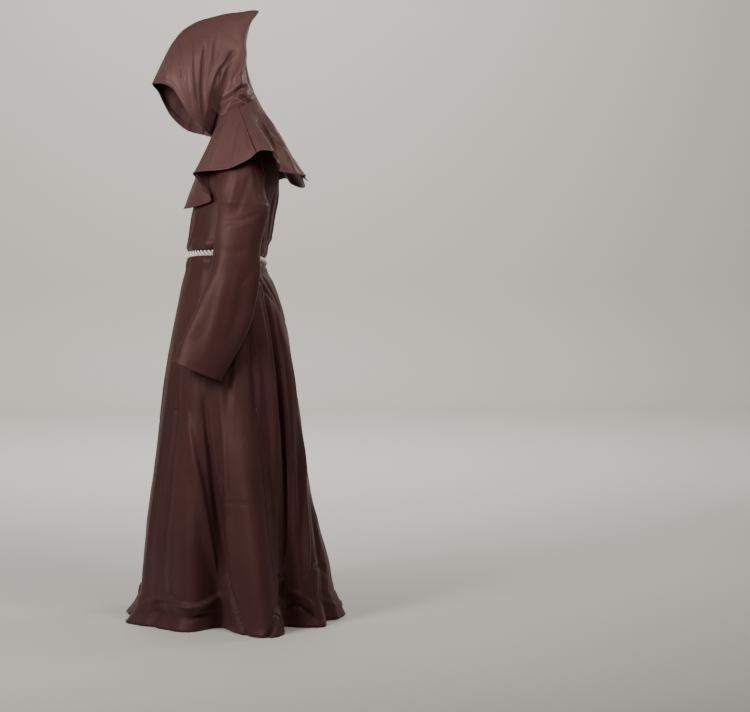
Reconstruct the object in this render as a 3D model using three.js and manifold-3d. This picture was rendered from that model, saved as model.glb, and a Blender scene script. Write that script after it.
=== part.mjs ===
// Monk robe: a floor-length robe with set-in sleeves and a rope belt, and a hooded
// shoulder cape worn over it. The cloth keeps the hollow form it has when it is worn.
// Millimetres, +Z up. The origin lies between the wearer's shoulders, -Y is the front
// and +X the wearer's left. Angles run round the body from the wearer's left (0) by
// the back (90) and the right (180) to the front (270).
import * as THREE from 'three';
import Module from 'manifold-3d';
import { mergeVertices } from 'three/addons/utils/BufferGeometryUtils.js';

const wasm = await Module();
wasm.setup();

// Driving dimensions. Heights in the tables are above the floor.
const SHOULDER_HEIGHT = 1450;
const CLOTH = 2;
const SEAM = 0.3;
const FLOOR_GAP = 0.2;
const SQUARE = 0.9; // below 1 an oval is squarer, as cloth over a body is
const ARM_PLANE = 160; // distance of both armholes from the middle
const CUFF_SPREAD = 16; // how much further out the right cuff hangs
const HOOD_TURN = 16; // degrees that the hood is turned to the wearer's left
const HOOD_AXIS_Y = 8;
const NECK_SEAM = 1.6; // rise of the hood's lower edge over the cape's neckline
const HEM_WIDTH = 18;
const HEM_PLY = 1.2;
const HEM_GAP = 1.3;
const CAPE_SEAMS = { left: 10, right: 171 }; // angles of the shoulder seams
const CAPE_SEAM_GAP = 0.12; // degrees to each side of a seam
const ROPE_RADIUS = 8.2;
const ROPE_GROOVE = 2; // depth between two strands
const ROPE_STRANDS = 3;
const ROPE_LAY = 39; // length of one turn of a strand
const KNOT_ANGLE = 234;
const KNOT_RADIUS = 17;
const KNOT_END_LENGTH = 44;

const SATIN = { color: 0x5a3a36, roughness: 0.5, metalness: 0 };
const COTTON = { color: 0xe6ddd0, roughness: 0.9, metalness: 0 };

const rad = (degrees) => (degrees * Math.PI) / 180;
const clamp = (t) => Math.min(1, Math.max(0, t));
const mix = (a, b, t) => a + (b - a) * t;
const power = (t, exponent) => Math.sign(t) * Math.abs(t) ** exponent;
const range = (count, from, to) =>
  Array.from({ length: count + 1 }, (_, k) => mix(from, to, k / count));

function table(names, ...rows) {
  return rows.map((row) =>
    Object.fromEntries(names.split(' ').map((name, k) => [name, row[k]])));
}

// Smooth curve through one column of a table; row may lie between two rows.
function column(rows, name, row) {
  const last = rows.length - 1;
  const k = Math.min(last - 1, Math.max(0, Math.floor(row)));
  const t = row - k;
  const near = [k - 1, k, k + 1, k + 2];
  const [a, b, c, d] = near.map((n) => rows[Math.min(last, Math.max(0, n))][name]);
  const rise = (c - a) / 2;
  const fall = (d - b) / 2;
  const t2 = t * t;
  const t3 = t2 * t;
  return (2 * t3 - 3 * t2 + 1) * b + (t3 - 2 * t2 + t) * rise
    + (3 * t2 - 2 * t3) * c + (t3 - t2) * fall;
}

// The same round a closed ring of stations, each at its own angle.
function station(rows, name, angle) {
  const count = rows.length;
  const turned = rows[0].angle + ((((angle - rows[0].angle) % 360) + 360) % 360);
  let k = count - 1;
  while (rows[k].angle > turned) k -= 1;
  const at = (n) => {
    const turn = Math.floor(n / count);
    const row = rows[n - turn * count];
    return { angle: row.angle + 360 * turn, value: row[name] };
  };
  const [a, b, c, d] = [k - 1, k, k + 1, k + 2].map(at);
  const slope = (p, q) => (q.value - p.value) / (q.angle - p.angle);
  const wide = c.angle - b.angle;
  const t = (turned - b.angle) / wide;
  const ease = (p, q, r) => {
    const [s1, s2] = [slope(p, q), slope(q, r)];
    return s1 * s2 <= 0 ? 0 : (2 * s1 * s2) / (s1 + s2);
  };
  const rise = ease(a, b, c) * wide;
  const fall = ease(b, c, d) * wide;
  const t2 = t * t;
  const t3 = t2 * t;
  return (2 * t3 - 3 * t2 + 1) * b.value + (t3 - 2 * t2 + t) * rise
    + (3 * t2 - 2 * t3) * c.value + (t3 - t2) * fall;
}

// A point on a ring: half is its reach to each side, fore to the front, rear to the
// back, and mid is where its sides lie.
function ovalPoint(angle, ring) {
  const s = Math.sin(angle);
  const reach = s < 0 ? ring.fore + ring.mid : ring.rear - ring.mid;
  const top = s < 0 ? ring.front : ring.back;
  return new THREE.Vector3(
    ring.half * power(Math.cos(angle), SQUARE),
    ring.mid + reach * power(s, SQUARE),
    mix(ring.side, top, Math.abs(s) ** 1.5) - SHOULDER_HEIGHT,
  );
}

// A closed wall of cloth on the outer surface point(u, v). The normal, turned by side,
// points out of the cloth. join says in which rows the last column meets the first.
function clothWall(point, us, vs, options) {
  const { side = 1, thick = CLOTH, join = () => false, limit = (p) => p, place = (p) => p } = options;
  const columns = us.length;
  const du = (us[columns - 1] - us[0]) * 1e-3;
  const dv = (vs[vs.length - 1] - vs[0]) * 1e-3;
  const outer = [];
  const inner = [];
  for (const [j, v] of vs.entries()) {
    for (const [i, u] of us.entries()) {
      const p = point(u, v);
      const alongU = point(u + du, v).sub(point(u - du, v));
      const alongV = point(u, v + dv).sub(point(u, v - dv));
      const normal = alongU.cross(alongV).normalize().multiplyScalar(side);
      const lining = p.clone().addScaledVector(normal, -thick);
      outer.push(place(limit(p, i, j), u, v));
      inner.push(place(limit(lining, i, j), u, v));
    }
  }
  const id = (i, j) => j * columns + (i === columns - 1 && join(j) ? 0 : i);
  const faces = [];
  for (let j = 0; j + 1 < vs.length; j += 1) {
    for (let i = 0; i + 1 < columns; i += 1) {
      const [a, b, c, d] = [id(i, j), id(i + 1, j), id(i + 1, j + 1), id(i, j + 1)];
      const shortFirst = outer[a].distanceTo(outer[c]) <= outer[b].distanceTo(outer[d]);
      faces.push(...(shortFirst ? [[a, b, c], [a, c, d]] : [[a, b, d], [b, c, d]]));
    }
  }
  const sheet = faces.filter(([a, b, c]) => a !== b && b !== c && a !== c);
  const away = outer.length;
  const edges = new Set(sheet.flatMap(([a, b, c]) => [`${a},${b}`, `${b},${c}`, `${c},${a}`]));
  const solid = [...sheet, ...sheet.map(([a, b, c]) => [a + away, c + away, b + away])];
  for (const edge of edges) {
    const [a, b] = edge.split(',').map(Number);
    if (!edges.has(`${b},${a}`)) solid.push([b, a, a + away], [b, a + away, b + away]);
  }
  return closedGeometry([...outer, ...inner], solid);
}

// Builds the geometry, with its faces turned outward by the sign of its volume.
function closedGeometry(points, faces) {
  let volume = 0;
  for (const [a, b, c] of faces) {
    volume += points[a].dot(points[b].clone().cross(points[c]));
  }
  const turned = volume < 0 ? faces.map(([a, b, c]) => [a, c, b]) : faces;
  const geometry = new THREE.BufferGeometry();
  const flat = points.flatMap((p) => [p.x, p.y, p.z]);
  geometry.setAttribute('position', new THREE.Float32BufferAttribute(flat, 3));
  geometry.setIndex(turned.flat());
  return geometry;
}

const robe = new THREE.Group();

function addPiece(name, geometry, finish) {
  const soft = geometry.index ? geometry : mergeVertices(geometry);
  soft.computeVertexNormals();
  const mesh = new THREE.Mesh(soft, new THREE.MeshStandardMaterial(finish));
  mesh.name = name;
  robe.add(mesh);
}

// The cape's neckline; the robe's own neck lies just inside it.
const NECKLINE = { side: 1478, front: 1391, back: 1515, half: 95, fore: 61, rear: 73, mid: 6 };

// Rings of the robe from the neck to the floor. side, front and back are heights; belt
// says how far the ring tilts with the belt, and seam is the side seam's angle.
const ROBE = table('side front back half fore rear mid belt seam',
  [1475.2, 1389.6, 1513.4, 93.4, 58.4, 70.5, 6, 0, 0],
  [1446, 1350, 1472, 121, 67, 84, 10, 0, 0],
  [1430, 1320, 1438, 142, 76, 100, 15, 0, 0],
  [1412, 1296, 1403, 160, 85, 116, 19, 0, 0],
  [1384, 1274, 1365, 176, 93, 127, 23, 0, 0],
  [1343, 1256, 1325, 184, 99, 134, 27, 0, 0],
  [1298, 1240, 1290, 186, 104, 138, 30, 0, 0],
  [1250, 1222, 1255, 178, 108, 138, 30, 0, 0],
  [1212, 1200, 1215, 160, 112, 132, 30, 0, 0],
  [1165, 1162, 1166, 157, 116, 121, 26, 0, 4],
  [1118, 1118, 1118, 155, 122, 112, 18, 0, 6],
  [1075, 1075, 1075, 154, 127, 99, 8, 0.7, 8],
  [1043, 1043, 1043, 151, 126, 92, 2, 1, 9],
  [1012, 1012, 1012, 156, 134, 99, 4, 0.7, 10],
  [975, 975, 975, 162, 147, 121, 6, 0, 11],
  [905, 905, 905, 178, 161, 145, 8, 0, 12],
  [820, 820, 820, 195, 178, 162, 8, 0, 14],
  [720, 720, 720, 207, 193, 177, 8, 0, 16],
  [600, 600, 600, 219, 209, 196, 8, 0, 17],
  [480, 480, 480, 235, 224, 212, 8, 0, 18],
  [360, 360, 360, 248, 239, 230, 10, 0, 18],
  [250, 250, 250, 258, 254, 252, 10, 0, 18],
  [160, 160, 160, 262, 264, 276, 10, 0, 18],
  [90, 90, 90, 263, 268, 286, 10, 0, 18],
  [42, 42, 42, 264, 284, 302, 10, 0, 18],
  [14, 14, 14, 268, 302, 312, 10, 0, 18],
  [2.4, 2.4, 2.4, 274, 312, 317, 10, 0, 18]);
const WAIST_ROW = 12;
const ARMHOLE_TOP = 3;
const ARMPIT = 8;

// Folds of the skirt: foot and head are a fold's angles at the floor and where it
// starts, top is that height, depth is outward at the floor and spread half its width.
const SKIRT_FOLDS = table('foot head top depth spread',
  [-9, -25, 920, -66, 12],
  [-25, -38, 800, 20, 13],
  [11, 3, 880, 108, 18],
  [28, 57, 1035, -46, 10],
  [46, 80, 720, 26, 11],
  [64, 86, 620, -26, 10],
  [90, 93, 520, 12, 15],
  [114, 106, 820, -16, 11],
  [134, 124, 700, 14, 11],
  [153, 141, 760, -20, 10],
  [171, 166, 700, 26, 12],
  [189, 184, 820, -34, 10],
  [211, 205, 560, 76, 15],
  [233, 226, 900, -32, 11],
  [252, 245, 760, 18, 12],
  [272, 266, 700, -14, 10],
  [291, 285, 640, 14, 12],
  [312, 303, 760, -12, 9]);

const bell = (t) => (Math.abs(t) < 1 ? (1 + Math.cos(Math.PI * t)) / 2 : 0);

function skirtFold(angle, height) {
  let out = 0;
  for (const fold of SKIRT_FOLDS) {
    const run = clamp((fold.top - height) / fold.top);
    const centre = mix(fold.head, fold.foot, run ** 0.8);
    const apart = ((((angle * 180) / Math.PI - centre + 180) % 360) + 360) % 360 - 180;
    out += fold.depth * run ** 1.8 * bell(apart / fold.spread);
  }
  return out;
}

// The belt sits lower at the back and on the wearer's right.
const beltTilt = (angle) => 18 * Math.cos(angle) - 10 * Math.sin(angle);

function robeRing(row) {
  return Object.fromEntries(Object.keys(ROBE[0]).map((name) => [name, column(ROBE, name, row)]));
}

function robePoint(angle, row) {
  const ring = robeRing(row);
  const p = ovalPoint(angle, ring);
  p.z += ring.belt * beltTilt(angle);
  const out = skirtFold(angle, p.z + SHOULDER_HEIGHT);
  p.x += out * Math.cos(angle);
  p.y += out * Math.sin(angle);
  return p;
}

// Angle from the wearer's side to the edge of a panel: the armhole where the ring
// reaches past the arm plane, and half a seam's gap elsewhere.
function armholeAngle(row) {
  const ring = robeRing(row);
  if (row <= ARMHOLE_TOP || row >= ARMPIT || ring.half <= ARM_PLANE) return 0;
  return Math.acos((ARM_PLANE / ring.half) ** (1 / SQUARE));
}

function panelEdges(row) {
  const ring = robeRing(row);
  const gap = SEAM / ring.half;
  const hole = Math.max(armholeAngle(row), gap);
  const seam = rad(ring.seam);
  return {
    back: [seam + hole, Math.PI - seam - hole],
    front: [Math.PI - seam + hole, 2 * Math.PI + seam - hole],
  };
}

function robePanel(which) {
  const last = ROBE.length - 1;
  const rows = [...range(last, 0, last), ARMHOLE_TOP + 0.3, ARMPIT - 0.3].sort((a, b) => a - b);
  const floor = -SHOULDER_HEIGHT + FLOOR_GAP;
  const point = (u, row) => {
    const [from, to] = panelEdges(row)[which];
    return robePoint(mix(from, to, u), row);
  };
  const limit = (p) => {
    p.z = Math.max(p.z, floor);
    return p;
  };
  return clothWall(point, range(28, 0, 1), rows, { side: -1, limit });
}

addPiece('robe_front', robePanel('front'), SATIN);
addPiece('robe_back', robePanel('back'), SATIN);

// Sections of the left sleeve below the armpit: the front and back points of each, and
// how far its inner and outer sides lie from the middle of the body.
const SLEEVE = table('foreY foreHeight backY backHeight inner outer',
  [-40, 1196, 108, 1188, 161.5, 250],
  [-42, 1150, 96, 1138, 164, 252],
  [-49, 1104, 86, 1088, 172, 254],
  [-55, 1058, 83, 1036, 174, 256],
  [-67, 1008, 78, 982, 174, 258],
  [-85, 958, 68, 924, 179, 260],
  [-105, 905, 50, 862, 188, 262],
  [-126, 852, 24, 804, 194, 264],
  [-148, 802, -5, 750, 197, 266],
  [-166, 759, -31, 703, 196, 268]);

// Above the armpit the sleeve follows the armhole; outer is its reach at these robe rows.
const SLEEVE_CAP = table('row outer',
  [3.15, 166], [3.5, 184], [4, 200], [5, 225], [6, 240], [7, 246], [8, 249]);
const SLEEVE_WIDEST_ROW = 6;

// Dents across the sleeve: where along it, where round it (0 inner, 0.25 front), how
// deep, and how long and wide.
const SLEEVE_DENTS = table('along around depth long wide',
  [7.6, 0.42, 5, 1.2, 0.2],
  [9.2, 0.68, 7, 1.4, 0.12],
  [10.4, 0.32, 5, 2.2, 0.1],
  [12.6, 0.6, 4, 2.4, 0.12],
  [14, 0.4, 4, 2, 0.12]);

function sleeveSections() {
  const cap = SLEEVE_CAP.map(({ row, outer }) => {
    const hole = armholeAngle(row);
    const front = robePoint(-hole, row);
    const back = robePoint(hole, row);
    const widest = Math.min(row, SLEEVE_WIDEST_ROW);
    const reach = armholeAngle(widest);
    const depth = (robePoint(reach, widest).y - robePoint(-reach, widest).y) / 2;
    const gap = (back.y - front.y) / 2;
    const start = row > SLEEVE_WIDEST_ROW ? Math.asin(clamp(gap / depth)) : Math.PI / 2;
    const half = (outer - ARM_PLANE - SEAM) / (1 + Math.cos(start));
    return {
      x: outer - half, half, start, y: (front.y + back.y) / 2, depth,
      z: (front.z + back.z) / 2, lift: ((front.z - back.z) / 2) * clamp(gap / depth),
    };
  });
  const arm = SLEEVE.map((s) => ({
    x: (s.inner + s.outer) / 2, half: (s.outer - s.inner) / 2, start: 0,
    y: (s.foreY + s.backY) / 2, depth: (s.backY - s.foreY) / 2,
    z: (s.foreHeight + s.backHeight) / 2 - SHOULDER_HEIGHT, lift: (s.foreHeight - s.backHeight) / 2,
  }));
  return [...cap, ...arm];
}

function sleeve(hand) {
  const sections = sleeveSections();
  const last = sections.length - 1;
  const firstRing = SLEEVE_CAP.length - 1;
  const point = (u, row) => {
    const at = (name) => column(sections, name, row);
    const start = at('start');
    const turn = start + u * 2 * (Math.PI - start);
    let dent = 0;
    for (const d of SLEEVE_DENTS) {
      dent += d.depth * bell((row - d.along) / d.long) * bell((u - d.around) / d.wide);
    }
    const [half, depth] = [at('half') - dent, at('depth') - dent];
    const spread = hand < 0 ? CUFF_SPREAD * clamp((row - firstRing) / (last - firstRing)) ** 2 : 0;
    return new THREE.Vector3(
      at('x') + spread - half * Math.cos(turn),
      at('y') - depth * Math.sin(turn),
      at('z') + at('lift') * Math.sin(turn),
    );
  };
  const limit = (p) => {
    p.x = Math.max(p.x, ARM_PLANE + SEAM);
    return p;
  };
  const place = (p) => p.setX(p.x * hand);
  const options = { side: -1, join: (j) => j >= firstRing, limit, place };
  return clothWall(point, range(16, 0, 1), range(last, 0, last), options);
}

addPiece('sleeve_left', sleeve(1), SATIN);
addPiece('sleeve_right', sleeve(-1), SATIN);

// The cape's hem: at each angle its reach from the middle and its height. Low reaches
// beside high ones are the flutes; the ends of the shoulders stand furthest out.
const CAPE_HEM = table('angle reach height',
  [-90, 158, 1190],
  [-70, 158, 1192],
  [-54, 162, 1200],
  [-45, 178, 1236],
  [-38, 212, 1286],
  [-25, 232, 1293],
  [-8, 246, 1297],
  [5, 264, 1322],
  [13, 282, 1350],
  [20, 284, 1346],
  [27, 256, 1310],
  [34, 206, 1294],
  [46, 234, 1286],
  [58, 226, 1284],
  [70, 200, 1276],
  [81, 204, 1270],
  [88, 196, 1274],
  [94, 180, 1304],
  [100, 194, 1268],
  [110, 208, 1256],
  [122, 222, 1254],
  [133, 214, 1266],
  [143, 232, 1284],
  [151, 232, 1278],
  [160, 262, 1298],
  [169, 286, 1340],
  [176, 292, 1360],
  [184, 282, 1346],
  [194, 250, 1302],
  [206, 232, 1290],
  [218, 208, 1284],
  [226, 178, 1240],
  [234, 162, 1204],
  [250, 158, 1193]);
const CAPE_MIDDLE_Y = 20;
const CAPE_OVAL = { side: 1340, front: 1191, back: 1265, half: 270, fore: 138, rear: 205, mid: 20 };

function capePoint(angle, down) {
  const degrees = (angle * 180) / Math.PI;
  const top = ovalPoint(angle, NECKLINE);
  const plain = ovalPoint(angle, CAPE_OVAL);
  const reach = station(CAPE_HEM, 'reach', degrees);
  const hem = new THREE.Vector3(
    reach * Math.cos(angle),
    CAPE_MIDDLE_Y + reach * Math.sin(angle),
    station(CAPE_HEM, 'height', degrees) - SHOULDER_HEIGHT,
  );
  const flute = hem.sub(plain).multiplyScalar(power(down, 1.5));
  const drop = mix(1, 1.15, Math.abs(Math.cos(angle)));
  return new THREE.Vector3(
    mix(top.x, plain.x, down),
    mix(top.y, plain.y, down),
    mix(top.z, plain.z, power(down, drop)),
  ).add(flute);
}

function capePanel(from, to) {
  const stops = CAPE_HEM.flatMap(({ angle }, k) => {
    const next = k + 1 < CAPE_HEM.length ? CAPE_HEM[k + 1].angle : CAPE_HEM[0].angle + 360;
    return [angle, (angle + next) / 2, angle + 360, (angle + next) / 2 + 360];
  });
  const inside = stops.filter((angle) => angle > from + 2 && angle < to - 2).sort((a, b) => a - b);
  const angles = [from + CAPE_SEAM_GAP, ...inside, to - CAPE_SEAM_GAP].map(rad);
  return clothWall(capePoint, angles, [0, 0.1, 0.22, 0.36, 0.52, 0.68, 0.84, 1], { side: -1 });
}

addPiece('cape_back', capePanel(CAPE_SEAMS.left, CAPE_SEAMS.right), SATIN);
addPiece('cape_front', capePanel(CAPE_SEAMS.right, CAPE_SEAMS.left + 360), SATIN);

// Arches of the hood from the nape, by the point at row 6, to the brow. crown is the
// centre seam and edge the face opening, which starts at row 6; before it the edge
// only leads there. wide is half the hood's width and round its fullness at the crown.
const HOOD = table('crownY crownH edgeX edgeY edgeH wide round',
  [67, 1520, 12, 72.5, 1516, 30, 0.8],
  [53, 1560, 46, 66, 1511, 66, 0.8],
  [47, 1606, 76, 45, 1499, 90, 0.75],
  [46, 1650, 92, 18, 1485, 102, 0.65],
  [49, 1692, 93, -14, 1459, 106, 0.55],
  [62, 1732, 76, -43, 1417, 104, 0.45],
  [84, 1765, 36.3, -57.5, 1401, 100, 0.4],
  [30, 1761, 58, -75, 1406, 100, 0.55],
  [-28, 1750, 84, -108, 1418, 104, 0.7],
  [-86, 1735, 95, -138, 1442, 107, 0.75],
  [-135, 1708, 98, -160, 1468, 108, 0.75],
  [-171, 1670, 94, -180, 1494, 104, 0.75],
  [-197, 1624, 82, -201, 1519, 92, 0.75],
  [-216, 1582, 55, -220, 1538, 66, 0.8],
  [-232, 1548, 16, -231, 1546, 24, 0.8]);
const HOOD_POINT_ROW = 6;
const CROWN_TURN = 0.1; // how soon an arch leaves the crown, as a share of its height
const CHEEK_TURN = 0.62; // where it starts to turn in to the edge
const CHEEK_FULLNESS = 1.14;
const HOOD_LAST = HOOD.length - 1;
const OPENING_ROWS = [7, 8, 9, 10, 11, 12, 13, 13.6];

// Up to the row of the point the hood ends on the cape's neckline, at these angles.
const HOOD_NECK = table('angle', [88], [62], [36], [10], [-16], [-43], [-70]);

function hoodEdge(row) {
  if (row < HOOD_POINT_ROW) {
    const p = ovalPoint(rad(column(HOOD_NECK, 'angle', row)), NECKLINE);
    return p.setZ(p.z + NECK_SEAM);
  }
  const at = (name) => column(HOOD, name, row);
  return new THREE.Vector3(at('edgeX'), at('edgeY'), at('edgeH') - SHOULDER_HEIGHT);
}

// Creases down the hood's side from the point: row, from and to are where, depth inward.
const HOOD_FOLDS = table('row lean wide depth',
  [9.2, 0.6, 0.8, 9],
  [7.6, -0.9, 0.9, 7],
  [11.4, 0.4, 0.7, 5],
  [4.6, 0.8, 0.9, 6]);

function hoodPoint(t, row) {
  const at = (name) => column(HOOD, name, row);
  const crown = new THREE.Vector3(SEAM / 2, at('crownY'), at('crownH') - SHOULDER_HEIGHT);
  const edge = hoodEdge(row);
  const wide = at('wide');
  let dent = 0;
  for (const fold of HOOD_FOLDS) {
    const apart = row - fold.row - fold.lean * (t - 0.5);
    dent += fold.depth * bell(apart / fold.wide) * Math.sin(Math.PI * t);
  }
  const shoulder = crown.clone().lerp(edge, CROWN_TURN).setX(wide * at('round'));
  const cheek = crown.clone().lerp(edge, CHEEK_TURN).setX(wide * CHEEK_FULLNESS);
  const p = new THREE.CubicBezierCurve3(crown, shoulder, cheek, edge).getPoint(t);
  p.x = Math.max(p.x - dent, SEAM / 2);
  return p;
}

// Turns the hood to the wearer's left, but leaves its neckline on the cape's.
function turnHood(p, t, row) {
  const held = clamp((8 - row) / 2) * t ** 1.5;
  const turn = rad(HOOD_TURN) * (1 - held);
  const y = p.y - HOOD_AXIS_Y;
  return new THREE.Vector3(
    p.x * Math.cos(turn) - y * Math.sin(turn),
    HOOD_AXIS_Y + p.x * Math.sin(turn) + y * Math.cos(turn),
    p.z,
  );
}

function hoodPanel(hand) {
  const limit = (p) => p.setX(Math.max(p.x, SEAM / 2));
  const place = (p, t, row) => turnHood(p.setX(p.x * hand), t, row);
  const rows = [...range(2 * HOOD_POINT_ROW, 0, HOOD_POINT_ROW), ...OPENING_ROWS, HOOD_LAST];
  return clothWall(hoodPoint, range(10, 0, 1), rows, { side: 1, limit, place });
}

// The hem lies against the inside of the face opening.
function hoodHem(hand) {
  const inward = (t, row) => {
    const step = 0.01;
    const alongT = hoodPoint(t + step, row).sub(hoodPoint(t - step, row));
    const alongRow = hoodPoint(t, row + step).sub(hoodPoint(t, row - step));
    return hoodPoint(t, row).addScaledVector(alongT.cross(alongRow).normalize(), -(CLOTH + HEM_GAP));
  };
  const long = (row) => hoodPoint(0.9, row).distanceTo(hoodPoint(1, row)) * 10;
  const across = (u, row) => 1 - (HEM_WIDTH * (1 - u)) / Math.max(long(row), 60);
  const point = (u, row) => inward(across(u, row), row);
  const limit = (p) => p.setX(Math.max(p.x, SEAM / 2));
  const place = (p, u, row) => turnHood(p.setX(p.x * hand), across(u, row), row);
  return clothWall(point, [0, 1], OPENING_ROWS, { side: 1, thick: HEM_PLY, limit, place });
}

for (const [name, hand] of [['left', 1], ['right', -1]]) {
  addPiece(`hood_${name}`, hoodPanel(hand), SATIN);
  addPiece(`hood_hem_${name}`, hoodHem(hand), SATIN);
}

const outward = (angle) => new THREE.Vector3(Math.cos(angle), Math.sin(angle), 0);

// Centre of the rope, which lies on the robe in its waist.
const ropePoint = (angle) => robePoint(angle, WAIST_ROW).addScaledVector(outward(angle), ROPE_RADIUS + 1);

// Three strands laid together: a section with a crest for each strand, turned along
// the rope. It stops short of the knot at both ends.
function ropeBelt() {
  const knotHalf = (KNOT_RADIUS + SEAM) / ropePoint(rad(KNOT_ANGLE)).setZ(0).length();
  const from = rad(KNOT_ANGLE) + knotHalf;
  const to = rad(KNOT_ANGLE) + 2 * Math.PI - knotHalf;
  const sides = ROPE_STRANDS * 2;
  const steps = 168;
  const points = [];
  let travelled = 0;
  let before = null;
  for (const angle of range(steps, from, to)) {
    const centre = ropePoint(angle);
    if (before) travelled += centre.distanceTo(before);
    before = centre;
    const along = ropePoint(angle + 1e-3).sub(ropePoint(angle - 1e-3)).normalize();
    const out = outward(angle).projectOnPlane(along).normalize();
    const up = along.clone().cross(out);
    for (let k = 0; k < sides; k += 1) {
      const turn = (2 * Math.PI * k) / sides + (2 * Math.PI * travelled) / ROPE_LAY;
      const reach = ROPE_RADIUS - (k % 2) * ROPE_GROOVE;
      const arm = out.clone().multiplyScalar(reach * Math.cos(turn));
      points.push(arm.addScaledVector(up, reach * Math.sin(turn)).add(centre));
    }
  }
  const faces = [];
  for (let j = 0; j < steps; j += 1) {
    for (let k = 0; k < sides; k += 1) {
      const next = (k + 1) % sides;
      const [a, b] = [j * sides + k, j * sides + next];
      faces.push([a, b, b + sides], [a, b + sides, a + sides]);
    }
  }
  for (let k = 1; k + 1 < sides; k += 1) {
    faces.push([0, k + 1, k], [steps * sides, steps * sides + k, steps * sides + k + 1]);
  }
  return closedGeometry(points, faces);
}

addPiece('rope_belt', ropeBelt(), COTTON);

function toSolid(geometry) {
  const bare = geometry.clone();
  bare.deleteAttribute('normal');
  bare.deleteAttribute('uv');
  const merged = mergeVertices(bare, 1e-4);
  return new wasm.Manifold(new wasm.Mesh({
    numProp: 3,
    vertProperties: merged.attributes.position.array,
    triVerts: Uint32Array.from(merged.index.array),
  }));
}

function fromSolid(solid) {
  const mesh = solid.getMesh();
  const geometry = new THREE.BufferGeometry();
  geometry.setAttribute('position', new THREE.BufferAttribute(mesh.vertProperties, 3));
  geometry.setIndex(new THREE.BufferAttribute(mesh.triVerts, 1));
  return geometry;
}

// The knot: a rounded lump of rope in line with the belt, with two short ends below it.
function beltKnot() {
  const angle = rad(KNOT_ANGLE);
  const centre = ropePoint(angle).addScaledVector(outward(angle), KNOT_RADIUS * 0.35);
  const lump = new THREE.SphereGeometry(KNOT_RADIUS, 14, 10);
  lump.scale(0.72, 0.98, 1);
  lump.rotateZ(angle);
  lump.translate(centre.x, centre.y, centre.z);
  let solid = toSolid(lump);
  for (const lean of [-0.35, 0.3]) {
    const end = new THREE.CylinderGeometry(ROPE_RADIUS * 0.9, ROPE_RADIUS, KNOT_END_LENGTH, 9);
    end.rotateX(Math.PI / 2);
    end.translate(0, 0, -0.6 * KNOT_END_LENGTH);
    end.rotateX(lean);
    end.rotateY(-0.22);
    end.rotateZ(angle);
    end.translate(centre.x, centre.y, centre.z);
    solid = solid.add(toSolid(end));
  }
  return fromSolid(solid);
}

addPiece('belt_knot', beltKnot(), COTTON);

export default robe;
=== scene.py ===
import math

import bpy
import numpy as np
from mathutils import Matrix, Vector


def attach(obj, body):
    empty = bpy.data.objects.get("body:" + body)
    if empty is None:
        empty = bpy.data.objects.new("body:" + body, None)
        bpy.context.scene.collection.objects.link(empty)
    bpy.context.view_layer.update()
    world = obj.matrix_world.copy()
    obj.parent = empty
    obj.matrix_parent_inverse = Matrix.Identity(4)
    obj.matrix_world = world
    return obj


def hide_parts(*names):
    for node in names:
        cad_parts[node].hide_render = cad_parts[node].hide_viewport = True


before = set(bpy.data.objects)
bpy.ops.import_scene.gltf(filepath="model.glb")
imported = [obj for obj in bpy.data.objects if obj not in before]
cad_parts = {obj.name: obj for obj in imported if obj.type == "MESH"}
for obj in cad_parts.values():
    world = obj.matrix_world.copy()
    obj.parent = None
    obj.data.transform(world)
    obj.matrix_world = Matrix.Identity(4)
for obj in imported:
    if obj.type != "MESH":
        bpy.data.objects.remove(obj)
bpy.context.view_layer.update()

# The place where the robe stands: a pale seamless paper sweep in a studio. A soft light
# stands on either side of the camera, a weak one behind the robe, and one for the paper.
MM = 0.001
SHOULDER_HEIGHT = 1450
FLOOR = -SHOULDER_HEIGHT * MM
SWEEP_HALF = 9.0
SWEEP_BACK = 7.4
SWEEP_RADIUS = 0.8
SWEEP_HEIGHT = 5.0
CAMERA_DISTANCE = 6.2
CAMERA_HEIGHT = 1.1
PIXEL_AT_ROBE = 2.92 * MM
PHOTO_WIDTH = 750
PHOTO_HEIGHT = 712
ROBE_AXIS_X = 232
HORIZON_Y = 240
PALE_PAPER = "#d2cdc5"
PAPER_TOOTH = 7.143
WARM_WHITE = "#fff8f2"
SOFT_WHITE = "#ffffff"
AIR_COLOUR = "#e8e6e2"
AIR_STRENGTH = 0.16
SWEEP_STEPS = 10
SENSOR_WIDTH = 36

# Each light: its name, its place, what it points at, its two sides, its watts and its colour.
LIGHTS = (
    ("key_softbox", (1.15, 0.72, 0.95), (0, 0, 0), (0.7, 0.7), 20, WARM_WHITE),
    ("front_softbox", (1.5, -1.35, 0.3), (0, 0, 0.1), (0.7, 0.7), 44, SOFT_WHITE),
    ("back_softbox", (-1.2, 1.9, 0.8), (0, 0, 0), (0.8, 1.0), 16, SOFT_WHITE),
    ("paper_light", (-3.6, 0, 3.6), (-7.6, 0, -0.6), (3.0, 4.0), 420, SOFT_WHITE),
)


def linear(code):
    """sRGB hex to linear red, green, blue and alpha."""
    parts = [int(code[k : k + 2], 16) / 255 for k in (1, 3, 5)]
    return (*[c / 12.92 if c <= 0.04045 else ((c + 0.055) / 1.055) ** 2.4 for c in parts], 1.0)


def node(tree, kind, settings=None, inputs=None, links=None):
    """Adds a node with its settings, its own input values and links into its inputs."""
    made = tree.nodes.new(kind)
    for key, value in (settings or {}).items():
        setattr(made, key, value)
    for key, value in (inputs or {}).items():
        made.inputs[key].default_value = value
    for key, source in (links or {}).items():
        tree.links.new(source, made.inputs[key])
    return made


def new_material(name):
    """A new material and its node tree, which is still empty."""
    made = bpy.data.materials.new(name)
    made.use_nodes = True
    made.node_tree.nodes.clear()
    return made, made.node_tree


def spacing(size):
    """The texture scale that gives features of a size in millimetres."""
    return 1 / (size * MM)


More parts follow.
